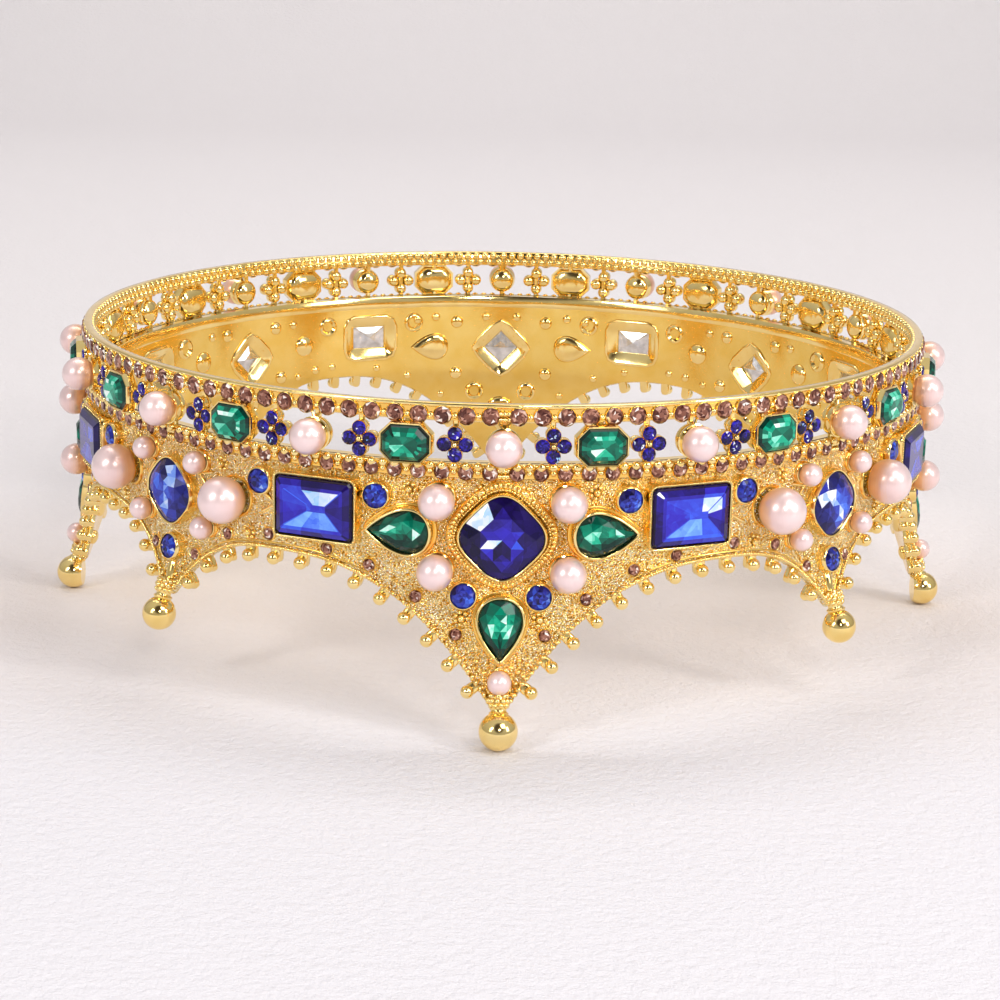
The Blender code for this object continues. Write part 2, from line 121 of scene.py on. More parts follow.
def ring_points(azimuth, radius, height):
    """Points on the ring: radius times outwards plus the height straight up."""
    outward = directions(azimuth)[1]
    return outward * radius[..., None] + UP * height[..., None]


def frames(azimuth, height, radius=None, lift=0.0, spin=0.0, inside=False):
    """Local frames as 4 x 4 arrays: x along the band, y up the plate, z out (or in, from inside).

    The slope is the change of the plate's radius over one millimetre of height, or none where a
    radius is given. The spin turns x and y about z, in degrees. The lift moves the origin along z.
    """
    azimuth, height, lift, spin = np.broadcast_arrays(
        *(np.atleast_1d(np.asarray(value, float)) for value in (azimuth, height, lift, spin)))
    east, outward = directions(azimuth)
    slope = np.zeros_like(height)
    if radius is None:
        radius = plate_radius(azimuth, height)
        slope = plate_radius(azimuth, height + 0.5) - plate_radius(azimuth, height - 0.5)
    up = outward * slope[:, None] + UP
    up = up / np.linalg.norm(up, axis=1, keepdims=True)
    face = np.cross(east, up)
    origin = outward * np.broadcast_to(radius, height.shape)[:, None] + UP * height[:, None]
    if inside:
        origin = origin - PLATE_THICK * face
        east, face = -east, -face
    turn = np.radians(spin)[:, None]
    placed = np.zeros((len(azimuth), 4, 4))
    placed[:, :3, 0] = np.cos(turn) * east + np.sin(turn) * up
    placed[:, :3, 1] = np.cos(turn) * up - np.sin(turn) * east
    placed[:, :3, 2] = face
    placed[:, :3, 3] = origin + face * lift[:, None]
    placed[:, 3, 3] = 1.0
    return placed


def mirrored(middles, offset, height):
    """Seats on both sides of each middle line: azimuths and heights."""
    middles = np.asarray(middles, float)
    azimuth = np.concatenate([middles - offset, middles + offset])
    return azimuth, np.full(len(azimuth), float(height))


def all_seats(seats):
    """Azimuths and heights of several lists of seats, end to end."""
    azimuths, heights = zip(*seats)
    return np.concatenate(azimuths), np.concatenate(heights)


def local_frames(x, y, turn, level):
    """Frames inside a seat: moved to x, y and a level, and turned about z, in radians."""
    made = np.zeros((len(x), 4, 4))
    made[:, 0, 0], made[:, 1, 0] = np.cos(turn), np.sin(turn)
    made[:, 0, 1], made[:, 1, 1] = -np.sin(turn), np.cos(turn)
    made[:, 2, 2] = made[:, 3, 3] = 1.0
    made[:, 0, 3], made[:, 1, 3], made[:, 2, 3] = x, y, level
    return made


print("seat at the front:", frames(0.0, 35.0)[0, :3, 3].round(2), "mm")

# %% [markdown]
# A shape here is a pair: an array of points and a list of face arrays, one array for each number of
# corners. Ready-made primitives would do for balls and tubes, but each is an object to be joined.
# Two functions of arrays cover nearly the whole crown: a loft joins rings of equal count, and a
# lathe turns a profile about the z axis.

# %% Lofts, lathes and balls
def even_turns(count):
    """Angles at even steps of a full turn: t = 2 pi k / count."""
    return 2.0 * np.pi * np.arange(count) / count


def circle_points(t):
    """x = cos t, y = sin t."""
    return np.stack([np.cos(t), np.sin(t)], axis=-1)


def at_level(points, z):
    """Points of a plane outline, all at the height z."""
    return np.column_stack([points, np.full(len(points), z)])


def wrap_faces(rings, count, closed=False):
    """Quads between neighbouring rings, each ring closing on itself."""
    level = np.arange(rings if closed else rings - 1)
    here = np.arange(count)
    low = (level * count)[:, None] + here
    high = ((level + 1) % rings * count)[:, None] + here
    low_next = (level * count)[:, None] + (here + 1) % count
    high_next = ((level + 1) % rings * count)[:, None] + (here + 1) % count
    return np.stack([low, low_next, high_next, high], axis=-1).reshape(-1, 4)


def loft(rings, closed=False):
    """Rings of equal count joined in order, with a flat cap on each end unless they close up."""
    rings = np.asarray(rings, float)
    levels, count = rings.shape[:2]
    faces = [wrap_faces(levels, count, closed)]
    if not closed:
        faces.append(np.arange(count)[::-1][None])
        faces.append((np.arange(count) + (levels - 1) * count)[None])
    return rings.reshape(-1, 3), faces


def lathe(profile, count, closed=False):
    """A profile of (radius, z) pairs turned about z: x = r cos t, y = r sin t."""
    profile = np.asarray(profile, float)
    flat = profile[:, None, :1] * circle_points(even_turns(count))[None]
    level = np.broadcast_to(profile[:, None, 1:], flat[..., :1].shape)
    return loft(np.concatenate([flat, level], axis=-1), closed)


def ball(radius, count=16, levels=9, squash=1.0, centre=0.0):
    """A sphere, squashed along z: r = R sin p, z = centre - squash R cos p."""
    polar = np.pi * (np.arange(levels) + 0.5) / levels
    profile = np.stack([radius * np.sin(polar), centre - squash * radius * np.cos(polar)], axis=-1)
    return lathe(profile, count)


print("points of a small ball:", len(ball(1.0, 8, 5)[0]))

# %% [markdown]
# The crown has several thousand gold grains. Modifiers such as Array follow one curve at a time, so
# a stamp copies a finished shape to many frames instead: it multiplies every point by every frame
# and shifts the numbers of the faces' corners.

# %% Copies of shapes
def stamp(shape, places):
    """Copies a shape to every frame: turned point = frame's axes times point, plus its origin."""
    points, faces = shape
    placed = np.einsum("kij,nj->kni", places[:, :3, :3], points) + places[:, None, :3, 3]
    shift = len(points) * np.arange(len(places))
    copied = [(group[None] + shift[:, None, None]).reshape(-1, group.shape[1]) for group in faces]
    return placed.reshape(-1, 3), copied


def together(*shapes):
    """Several shapes as one."""
    points = []
    faces = []
    first = 0
    for shape_points, shape_faces in shapes:
        points.append(shape_points)
        faces.extend(group + first for group in shape_faces)
        first += len(shape_points)
    return np.concatenate(points), faces


def moved(shape, offset=(0.0, 0.0, 0.0), scale=(1.0, 1.0, 1.0)):
    """A shape scaled and then moved."""
    points, faces = shape
    return points * np.asarray(scale) + np.asarray(offset), faces


print("copies of a ball:", len(stamp(ball(1.0), frames(LONG_POINTS, 35.0))[0]), "points")

# %% [markdown]
# Last, a shape becomes a mesh. A new mesh has room for lists of points, corners and faces, and
# foreach_set fills each from an array in one go, which is far quicker than adding faces one by one.
# A tone, a number for each face, goes in as an attribute, and finishes read it.

# %% From a shape to a piece
def put_in_mesh(name, shape, finish, smooth=None, tones=None):
    """A shape as an object, in metres. Smooth is the angle under which edges are rounded over."""
    points, faces = shape
    faces = [group for group in faces if len(group)]
    corners = np.concatenate([group.ravel() for group in faces])
    sizes = np.concatenate([np.full(len(group), group.shape[1]) for group in faces])
    mesh = bpy.data.meshes.new(name)
    mesh.vertices.add(len(points))
    mesh.vertices.foreach_set("co", (points * MM).astype(np.float32).ravel())
    mesh.loops.add(len(corners))
    mesh.loops.foreach_set("vertex_index", corners.astype(np.int32))
    mesh.polygons.add(len(sizes))
    mesh.polygons.foreach_set("loop_start", (np.cumsum(sizes) - sizes).astype(np.int32))
    mesh.update(calc_edges=True)
    mesh.validate()
    if tones is not None:
        layer = mesh.attributes.new("tone", 'FLOAT', 'FACE')
        layer.data.foreach_set("value", tones.astype(np.float32).ravel())
    mesh.materials.append(finish.material)
    if smooth:
        mesh.shade_smooth()
        mesh.set_sharp_from_angle(angle=math.radians(smooth))
    else:
        mesh.shade_flat()
    item = bpy.data.objects.new(name, mesh)
    bpy.context.scene.collection.objects.link(item)
    return item


piece_list = []


def make_piece(name, shape, finish, replaces=(), smooth=None, tones=None):
    """One piece of the crown: a mesh that rides on it, hiding the solids it replaces."""
    piece = put_in_mesh(name, shape, finish, smooth, tones)
    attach(piece, "root")
    if replaces:
        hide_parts(*replaces)
    triangles = sum(len(face.vertices) - 2 for face in piece.data.polygons)
    piece_list.append((name, triangles))
    print(f"{name}: {triangles} triangles")


# %% [markdown]
# A material is a small program of nodes. It could be drawn in the shader editor, but a written one
# can be repeated and changed. Writing it link by link is tedious, so a Wire stands for one output
# socket and does sums: each +, - or * adds the Math node for it. A Finish holds the material, and
# its node method adds any other node from its type, its settings and its inputs.

# %% Wires and finishes
class Wire:
    """One output socket, which Math nodes are added to by plain sums."""

    def __init__(self, finish, socket):
        self.finish = finish
        self.socket = socket

    def sum(self, operation, first, second):
        """A Math node of two values or wires."""
        return self.finish.node("ShaderNodeMath", {"operation": operation}, {0: first, 1: second})

    def __add__(self, other):
        return self.sum('ADD', self, other)

    def __radd__(self, other):
        return self.sum('ADD', other, self)

    def __sub__(self, other):
        return self.sum('SUBTRACT', self, other)

    def __rsub__(self, other):
        return self.sum('SUBTRACT', other, self)

    def __mul__(self, other):
        return self.sum('MULTIPLY', self, other)

    def __rmul__(self, other):
        return self.sum('MULTIPLY', other, self)


class Finish:
    """A material round one Principled shader, whose constants are set on its own sockets."""

    def __init__(self, name, **constants):
        self.material = bpy.data.materials.new(name)
        self.material.use_nodes = True
        self.tree = self.material.node_tree
        self.shader = self.tree.nodes["Principled BSDF"]
        for key, value in constants.items():
            self.feed(self.shader, key.replace("_", " "), value)

    def feed(self, node, socket, value):
        """Sets a socket, or links a Wire to it."""
        if isinstance(value, Wire):
            self.tree.links.new(value.socket, node.inputs[socket])
        else:
            node.inputs[socket].default_value = value

    def node(self, kind, settings=None, inputs=None, output=0):
        """Adds one node. Settings come first; a ramp's are its stops, as (place, colour) pairs."""
        made = self.tree.nodes.new(kind)
        for key, value in (settings or {}).items():
            if key == "stops":
                elements = made.color_ramp.elements
                while len(elements) < len(value):
                    elements.new(0.5)
                for element, (where, colour) in zip(elements, value):
                    element.position = where
                    element.color = (*colour, 1.0)
            else:
                setattr(made, key, value)
        for socket, value in (inputs or {}).items():
            self.feed(made, socket, value)
        return Wire(self, made.outputs[output])

    def place(self):
        """The piece's own coordinates, in metres."""
        return self.node("ShaderNodeTexCoord", output="Object")

    def noise(self, scale, detail=2.0, roughness=0.5):
        """Cloudy noise from 0 to 1."""
        return self.node("ShaderNodeTexNoise", {}, {"Vector": self.place(), "Scale": scale,
                                                    "Detail": detail, "Roughness": roughness})

    def cells(self, scale, feature='F1'):
        """Distance to the nearest of scattered points."""
        return self.node("ShaderNodeTexVoronoi", {"feature": feature},
                         {"Vector": self.place(), "Scale": scale}, output="Distance")

    def ramp(self, factor, stops):
        """Colours along a factor from 0 to 1."""
        return self.node("ShaderNodeValToRGB", {"stops": stops}, {"Fac": factor})

    def bump(self, height, distance, strength=1.0):
        """Feeds the shader's normal from a height, scaled to a distance in metres."""
        normal = self.node("ShaderNodeBump", {}, {"Height": height, "Distance": distance,
                                                  "Strength": strength}, output="Normal")
        self.feed(self.shader, "Normal", normal)

    def paint(self, **sockets):
        """Links what changes over the surface."""
        for key, value in sockets.items():
            self.feed(self.shader, key.replace("_", " "), value)


print("a finish can:", [name for name in vars(Finish) if not name.startswith("_")])

# %% [markdown]
# Gilt metal is all reflection: its colour is the colour of what it mirrors, warmed by the gold. The
# polished beads and bezels are nearly mirrors. The inside of the plate and the edge's groove get a
# deeper gold, painted shade and painted reflection of gold in gold, and the rings under the stones
# are warmer still, painted reflection of the gold round them and painted shade. One flat colour would
# look like plastic, so slow clouds change the tint a little and a faint ripple moves the reflections.

# %% Polished gold
CLOUD_SCALE, WEAR_SCALE, RIPPLE_SCALE = 220.0, 900.0, 1500.0
RIPPLE_DEPTH, RIPPLE_STRENGTH = 0.00002, 0.35


def polished_gold(name, roughness, tint):
    """Smooth gilding: the tint where a cloud is dense, a deeper one where it is thin."""
    gold = Finish(name, Metallic=1.0)
    cloud = gold.noise(CLOUD_SCALE, 3.0)
    deep = (tint[0] * 0.96, tint[1] * 0.90, tint[2] * 0.72)
    colour = gold.ramp(cloud, [(0.35, deep), (0.62, tint)])
    gold.paint(Base_Color=colour, Roughness=roughness + 0.10 * gold.noise(WEAR_SCALE, 2.0))
    gold.bump(gold.noise(RIPPLE_SCALE, 2.0), RIPPLE_DEPTH, RIPPLE_STRENGTH)
    return gold


bright_gold = polished_gold("bright_gold", 0.06, (1.0, 0.775, 0.33))
# Deeper gold: painted shade and painted reflection of gold in gold, inside the ring and in the groove.
shaded_gold = polished_gold("shaded_gold", 0.09, (0.95, 0.66, 0.185))
# Warmer gold: painted reflection of gold in gold and painted shade, for channel floors and joints.
amber_gold = polished_gold("amber_gold", 0.16, (1.0, 0.62, 0.16))
print("golds:", [material.name for material in bpy.data.materials])

# %% [markdown]
# The cast plate is different. Its face was stippled all over before gilding, so it sparkles in
# thousands of grains with deep orange between them. Real grains would take millions of faces. Cells
# and noise make the same pattern as a height, which feeds a bump and, through a ramp, the colour:
# orange in the pits as painted shade, pale to white on the tops as painted highlights. A slower
# noise gathers the grains into patches.

# %% Granulated gold
GRAIN_SCALE, CRUMB_SCALE, PATCH_SCALE = 3500.0, 2500.0, 650.0
GRAIN_DEPTH = 0.00043
stippled_gold = Finish("stippled_gold", Metallic=1.0)
grain = stippled_gold.cells(GRAIN_SCALE)
crumb = stippled_gold.noise(CRUMB_SCALE, 3.0, 0.6)
grain_height = (1.0 - grain) * 0.7 + crumb * 0.7
patch = grain_height + 0.22 * (stippled_gold.noise(PATCH_SCALE, 2.0) - 0.5)
# Base colour from the height: painted shade in the pits, painted highlights on the grains' tops.
stippled_gold.paint(
    Base_Color=stippled_gold.ramp(patch, [
        (0.49, (0.60, 0.26, 0.025)), (0.61, (1.0, 0.70, 0.18)),
        (0.73, (1.0, 0.84, 0.36)), (0.82, (1.0, 1.00, 0.90))]),
    Roughness=0.15 + 0.18 * crumb)
stippled_gold.bump(grain_height, GRAIN_DEPTH)
print("nodes of the granulated gold:", len(stippled_gold.tree.nodes))

# %% [markdown]
# Cut glass with a foil back shows each facet in one flat tone, from night blue to white, because each
# one mirrors a different part of the room through the stone. Clear glass over a mirror could be
# traced, slowly and with no say in where the lights fall. So the facets are real faces here, each
# carries a tone from 0 to 1 as an attribute, and a ramp turns tones into the colours of each glass.

# %% Cut glass
SHARD_SCALE, MURK_SCALE = 620.0, 900.0


def faceted_glass(name, stops, shards=0.35):
    """Glass over foil: a colour for each facet's tone, broken up by angular shards."""
    glass = Finish(name, Roughness=0.05, IOR=1.38, Coat_Weight=0.06, Coat_Roughness=0.01)
    tone = glass.node("ShaderNodeAttribute", {"attribute_name": "tone"}, output="Fac")
    shard = glass.node("ShaderNodeTexVoronoi", {"distance": 'MANHATTAN'},
                       {"Vector": glass.place(), "Scale": SHARD_SCALE}, output="Color")
    mottled = tone + shards * (shard - 0.5) + 0.08 * (glass.noise(MURK_SCALE, 2.0) - 0.5)
    glass.paint(Base_Color=glass.ramp(mottled, stops))
    return glass


sapphire_stops = [
    (0.00, (0.002, 0.001, 0.012)), (0.25, (0.012, 0.004, 0.100)),
    (0.50, (0.030, 0.018, 0.480)), (0.72, (0.045, 0.130, 0.880)),
    (0.88, (0.240, 0.540, 0.950)), (1.00, (0.880, 0.880, 0.980))]
steel_stops = [
    (0.00, (0.002, 0.002, 0.014)), (0.25, (0.010, 0.009, 0.090)),
    (0.50, (0.025, 0.038, 0.430)), (0.72, (0.055, 0.160, 0.820)),
    (0.88, (0.300, 0.480, 0.900)), (1.00, (0.880, 0.880, 0.980))]
steel_sapphire = faceted_glass("steel_sapphire", steel_stops, 0.22)
sapphire_glass = faceted_glass("sapphire_glass", sapphire_stops)
soft_sapphire = faceted_glass("soft_sapphire", sapphire_stops, 0.16)
clear_sapphire = faceted_glass("clear_sapphire", sapphire_stops, 0.08)
emerald_glass = faceted_glass("emerald_glass", [
    (0.00, (0.001, 0.006, 0.005)), (0.30, (0.001, 0.036, 0.024)),
    (0.55, (0.001, 0.160, 0.095)), (0.75, (0.010, 0.440, 0.260)),
    (0.90, (0.230, 0.800, 0.600)), (1.00, (0.860, 0.980, 0.940))], 0.16)
champagne_glass = faceted_glass("champagne_glass", [
    (0.00, (0.060, 0.014, 0.010)), (0.35, (0.230, 0.085, 0.055)),
    (0.65, (0.480, 0.235, 0.165)), (0.85, (0.780, 0.520, 0.420)),
    (1.00, (0.970, 0.900, 0.850))], 0.25)
foil = Finish("silver_foil", Metallic=1.0, Roughness=0.22)
foil.paint(Base_Color=foil.ramp(foil.noise(700.0, 3.0), [(0.3, (0.55, 0.54, 0.55)),
                                                         (0.7, (0.90, 0.90, 0.92))]))
print("finishes so far:", [material.name for material in bpy.data.materials])

# %% [markdown]
# An imitation pearl is a bead under many thin coats. Its sheen is soft, its edge picks up the gold
# round it, and its front is a pale pink. Scattering light under the surface would give the glow but
# not the warm edge, so the coat is partly metallic, and its colour follows how far forward each face
# lies, from a painted orange reflection of the gold at the back to the pearl's own rose at the front.

# %% Pearl coat
pearl_coat = Finish("pearl_coat", Metallic=0.45, Roughness=0.32, IOR=1.6, Coat_Weight=0.8,
                    Coat_Roughness=0.15, Coat_IOR=1.5)
front = pearl_coat.node("ShaderNodeAttribute", {"attribute_name": "tone"}, output="Fac")
# Base colour: a painted orange reflection of the gold at the back, the pearl's own rose in front.
rose_and_painted_gold_glow = pearl_coat.ramp(front + 0.12 * (pearl_coat.noise(140.0, 2.0) - 0.5), [
    (0.34, (0.92, 0.51, 0.30)), (0.54, (0.92, 0.61, 0.50)),
    (0.70, (0.90, 0.65, 0.62)), (0.95, (0.935, 0.73, 0.715))])
pearl_coat.paint(Base_Color=rose_and_painted_gold_glow)
print("finishes of the crown:", len(bpy.data.materials))

# %% [markdown]
# The plate is one casting: a stippled face, a rounded lower edge and a smooth back. Cutting arches
# out of a ring with booleans would leave ragged faces. Instead it is a grid whose columns follow the
# azimuth and whose rows run down the face, under the edge and up the back. The height of each row
# is a share of the way from the rim to the scalloped edge, so the rows bend with the scallops.

# %% The plate's grid
COLUMNS = 896
FACE_ROWS, BACK_ROWS = 40, 26
PLATE_TOP = 44.8
EDGE_SHARES, EDGE_BULGE = (0.2, 0.5, 0.8), 0.35
RELIEF_HEIGHT, RELIEF_FADE = 0.10, 3.0


def low_relief(azimuth, height):
    """Soft swelling of the face: two sines multiplied, times a share that is 0 at the edge."""
    wave = np.sin(np.radians(azimuth * 24.0) + 0.25 * height) * np.sin(0.55 * height + azimuth * 0.11)
    fade = np.clip((height - edge_height(azimuth)) / RELIEF_FADE, 0.0, 1.0)
    return RELIEF_HEIGHT * wave * fade


def plate_shape():
    """Face rows go down from the rim, then the edge is rounded, then back rows go up."""
    azimuth = 360.0 * np.arange(COLUMNS) / COLUMNS
    edge = edge_height(azimuth)
    down = np.linspace(0.0, 1.0, FACE_ROWS)[:, None]
    face_height = PLATE_TOP + (edge - PLATE_TOP) * down
    face_radius = plate_radius(azimuth, face_height) + low_relief(azimuth, face_height)
    up = np.linspace(1.0, 0.0, BACK_ROWS)[:, None]
    back_height = PLATE_TOP + (edge - PLATE_TOP) * up
    back_radius = plate_radius(azimuth, back_height) - PLATE_THICK
    round_share = np.array(EDGE_SHARES)[:, None]
    edge_radius = plate_radius(azimuth, edge) - PLATE_THICK * round_share
    edge_low = edge - EDGE_BULGE * np.sin(np.pi * round_share)
    radius = np.concatenate([face_radius, edge_radius, back_radius])
    level = np.concatenate([face_height, edge_low, back_height])
    grid = ring_points(np.broadcast_to(azimuth, level.shape), radius, level)
    return grid, wrap_faces(len(grid), COLUMNS, closed=True)


plate_grid, plate_faces = plate_shape()
print("plate grid:", plate_grid.shape[:2], "rows and columns")

# %% [markdown]
# Behind the cushions and the rectangles the plate is open, so that light reaches the backs of the
# stones. Those faces are left out of the back's rows: a face goes where its middle, seen in the
# frame of an opening, lies inside the opening's outline. The ragged steps that this leaves are
# covered by the window frames, which come later.

# %% The plate with its openings
def gold_piece(name, *shapes, finish=bright_gold, smooth=60.0, replaces=()):
    """One piece of gilt metal from one or more shapes."""
    make_piece(name, together(*shapes), finish, replaces, smooth=smooth)


def hole_mask(grid, faces, places, tests):
    """True for back faces whose middle is clear of every hole's outline function."""
    middle = grid.reshape(-1, 3)[faces].mean(axis=1)
    keep = np.ones(len(faces), bool)
    for place, inside in zip(places, tests):
        local = (middle - place[:3, 3]) @ place[:3, :3]
        near = np.abs(local[:, 2]) < 1.0
        keep &= ~(near & inside(local[:, 0], local[:, 1]))
    return keep


CUSHION_A_HEIGHT, CUSHION_B_HEIGHT, RECTANGLE_HEIGHT = 35.0, 35.7, 37.8
diamond_a = frames(LONG_POINTS, CUSHION_A_HEIGHT, inside=True)
diamond_b = frames(SHORT_POINTS, CUSHION_B_HEIGHT, inside=True)
rectangle_azimuths = np.concatenate([LONG_POINTS - 22.5, LONG_POINTS + 22.5])
oblong = frames(rectangle_azimuths, RECTANGLE_HEIGHT, inside=True)


def in_diamond(half):
    """Inside |x| + |y| = half."""
    return lambda x, y: np.abs(x) + np.abs(y) < half


def in_oblong(half_width, half_height):
    """Inside a rectangle."""
    return lambda x, y: (np.abs(x) < half_width) & (np.abs(y) < half_height)


DIAMOND_A, DIAMOND_B, OBLONG = 4.4, 3.7, (4.1, 2.9)
DIAMOND_BEVEL, OBLONG_BEVEL = 1.7, 1.2
hole_places = np.concatenate([diamond_a, diamond_b, oblong])
hole_tests = [in_diamond(DIAMOND_A + DIAMOND_BEVEL)] * len(diamond_a)
hole_tests += [in_diamond(DIAMOND_B + DIAMOND_BEVEL)] * len(diamond_b)
hole_tests += [in_oblong(OBLONG[0] + OBLONG_BEVEL, OBLONG[1] + OBLONG_BEVEL)] * len(oblong)
first_back = (FACE_ROWS + len(EDGE_SHARES)) * COLUMNS
face_part = plate_faces[:first_back]
back_part = plate_faces[first_back:]
back_part = back_part[hole_mask(plate_grid, back_part, hole_places, hole_tests)]
plate_points = plate_grid.reshape(-1, 3)
gold_piece("plate_face", (plate_points, [face_part]), finish=stippled_gold, replaces=["band"])
# The back is in painted shade: a deeper gold than the face.
gold_piece("plate_back", (plate_points, [back_part]), finish=shaded_gold)

# %% [markdown]
# Two rims of one section run round the crown, above and below the open gallery. Each is a channel
# for a row of stones, with a plain rolled edge on top and an amber floor, painted shade and painted
# reflection where the gold mirrors itself. A curve with a bevel profile would do, but then its
# corners are hard to place. Here the section is a list of points, carried round the axis.

# %% The rims
RIM_COLUMNS = 384
UPPER_STRIP, LOWER_STRIP = 0.62, 0.30
CHANNEL_DEPTH = 0.3
LEDGE_LOW, LEDGE_HIGH = 44.6, 47.1


def carried_ring(profile, columns=RIM_COLUMNS):
    """A closed profile of (radius, z) pairs carried round the crown's axis."""
    profile = np.asarray(profile, float)
    azimuth = 360.0 * np.arange(columns) / columns
    grid = ring_points(azimuth[None] + np.zeros((len(profile), 1)),
                       np.broadcast_to(profile[:, :1], (len(profile), columns)),
                       np.broadcast_to(profile[:, 1:], (len(profile), columns)))
    return grid.reshape(-1, 3), [wrap_faces(len(profile), columns, closed=True)]


def rim_profile(low, high, strip):
    """The channel's section: a floor set back below a strip with rounded corners."""
    front, back, floor = RIM_OUTER, RIM_INNER, RIM_OUTER - CHANNEL_DEPTH
    return [(front - 0.12, high), (front, high - 0.12), (front, high - strip + 0.1),
            (front - 0.1, high - strip), (floor, high - strip - 0.1), (floor, low + 0.45),
            (floor - 0.25, low + 0.25), (back + 0.2, low + 0.25), (back, low + 0.4),
            (back, high - 0.15), (back + 0.15, high)]


def floor_profile(low, high, strip):
    """The section of a channel's floor: a flat band just in front of the rim's own."""
    front, back, top, foot = RIM_OUTER - 0.26, RIM_OUTER - 0.9, high - strip - 0.12, low + 0.5
    return [(front, top), (front, foot), (back, foot), (back, top)]


upper_rim = carried_ring(rim_profile(*UPPER_RIM, UPPER_STRIP))
lower_rim = carried_ring(rim_profile(*LOWER_RIM, LOWER_STRIP))
ledge = carried_ring([(PLATE_OUTER, LEDGE_HIGH), (PLATE_OUTER, LEDGE_LOW),
                      (PLATE_OUTER - 2.0, LEDGE_LOW), (PLATE_OUTER - 2.05, LEDGE_LOW + 0.2),
                      (PLATE_OUTER - 2.05, LEDGE_HIGH - 0.2), (PLATE_OUTER - 1.9, LEDGE_HIGH)])
channel_floors = [carried_ring(floor_profile(*UPPER_RIM, UPPER_STRIP)),
                  carried_ring(floor_profile(*LOWER_RIM, LOWER_STRIP))]
# The channels' amber floors are painted shade and painted reflection.
gold_piece("channel_floors", *channel_floors, finish=amber_gold, smooth=50.0)
gold_piece("upper_rim", upper_rim, smooth=50.0, replaces=["gallery"])
gold_piece("lower_rim", lower_rim, ledge, smooth=50.0)

# %% [markdown]
# Small round stones of champagne glass fill the rims, sixteen to an eighth of the ring, and more of
# them are scattered along the scallops. Over three hundred full brilliants would be heavy, and at
# this size the eye only sees a bright or dark middle and a few sparks. So each has a table with a
# smaller one inside, a crown and a skirt. The small table takes a middle tone, lighter or darker
# from stone to stone, which keeps its face calm among the sparks.

# %% Champagne stones
CHIP_SIDES = 8


def chip_gem(radius, sides=CHIP_SIDES):
    """A small stone: four rings of corners at growing heights and a centre, all in triangles."""
    turn = even_turns(sides)
    circle = circle_points(turn)
    rings = [(1.0, -0.5), (1.0, 0.0), (0.70, 0.24), (0.34, 0.27)]
    points = [at_level(radius * scale * circle, radius * level) for scale, level in rings]
    points.append(np.array([[0.0, 0.0, 0.28 * radius]]))
    quads = wrap_faces(len(rings), sides)
    side = np.arange(sides)
    last = (len(rings) - 1) * sides
    table = np.stack([last + side, last + (side + 1) % sides, np.full(sides, last + sides)], axis=-1)
    triangles = np.concatenate([quads[:, [0, 1, 2]], quads[:, [0, 2, 3]], table])
    return np.concatenate(points), [triangles]


def random_tones(count, faces, seed, low=0.05, high=0.85, sparks=0.07):
    """Low plus the range times chance to the power 1.3, with a share of white sparks."""
    chance = np.random.default_rng(seed)
    tones = low + (high - low) * chance.random((count, faces)) ** 1.3
    return np.where(chance.random((count, faces)) < sparks, 1.0, tones)


CHIPS_PER_EIGHTH = 16
CHIP_FIRST, CHIP_PITCH = 1.58, 2.79
CHIP_LIFT, SMALL_CHIP_LIFT = 0.15, 0.45
eighths = 45.0 * np.arange(8)
chip_azimuths = (eighths[:, None] + CHIP_FIRST + CHIP_PITCH * np.arange(CHIPS_PER_EIGHTH)).ravel()
UPPER_CHIP_HEIGHT, LOWER_CHIP_HEIGHT = 55.05, 45.65
UPPER_CHIP, LOWER_CHIP, SMALL_CHIP = 1.46, 1.24, 0.98
upper_chips = frames(chip_azimuths, UPPER_CHIP_HEIGHT, radius=RIM_OUTER, lift=CHIP_LIFT)
lower_chips = frames(chip_azimuths, LOWER_CHIP_HEIGHT, radius=RIM_OUTER, lift=CHIP_LIFT)
long_chip_seats = [(5.2, 18.3), (10.1, 24.2), (15.9, 28.8), (21.3, 30.8)]
short_chip_seats = [(45.0 - 29.3, 31.75), (45.0 - 35.7, 30.3), (45.0 - 41.1, 25.2)]
chip_seats = [mirrored(LONG_POINTS, *seat) for seat in long_chip_seats]
chip_seats += [mirrored(SHORT_POINTS, *seat) for seat in short_chip_seats]
scattered = frames(*all_seats(chip_seats), lift=SMALL_CHIP_LIFT)
chip_rows = [(UPPER_CHIP, upper_chips), (LOWER_CHIP, lower_chips), (SMALL_CHIP, scattered)]
points, faces = together(*(stamp(chip_gem(radius), row) for radius, row in chip_rows))
chip_count = sum(len(row) for radius, row in chip_rows)
chip_faces = len(chip_gem(UPPER_CHIP)[1][0])
tones = random_tones(chip_count, chip_faces, 11, 0.0, 0.76, 0.07)
tones[:, -CHIP_SIDES:] = 0.12 + 0.45 * tones[:, :1]
make_piece("champagne_stones", (points, [np.concatenate(faces)]), champagne_glass, tones=tones)

# %% [markdown]
# Each small stone sits in its own cup, and the gaps in the rims are filled: a ball between two
# stones, and a cluster of grains where one eighth of the ring meets the next. They are cast in one
# with the rim. As separate touching shapes they look the same and need no joining.

# %% Cups and grains of the rims
def tube(inner, outer, foot, lip):
    """A cup's wall, as a closed section of (radius, height) pairs with a rolled lip."""
    middle = 0.5 * (inner + outer)
    return [(outer, foot), (outer, lip - 0.15), (middle, lip), (inner, lip - 0.15), (inner, foot)]


CUP_WALLS = [0.14, 0.14, 0.24]
cups = [stamp(lathe(tube(radius - 0.03, radius + wall, -0.75, 0.06), 14, closed=True), row)
        for (radius, row), wall in zip(chip_rows, CUP_WALLS)]
gold_piece("stone_cups", *cups)

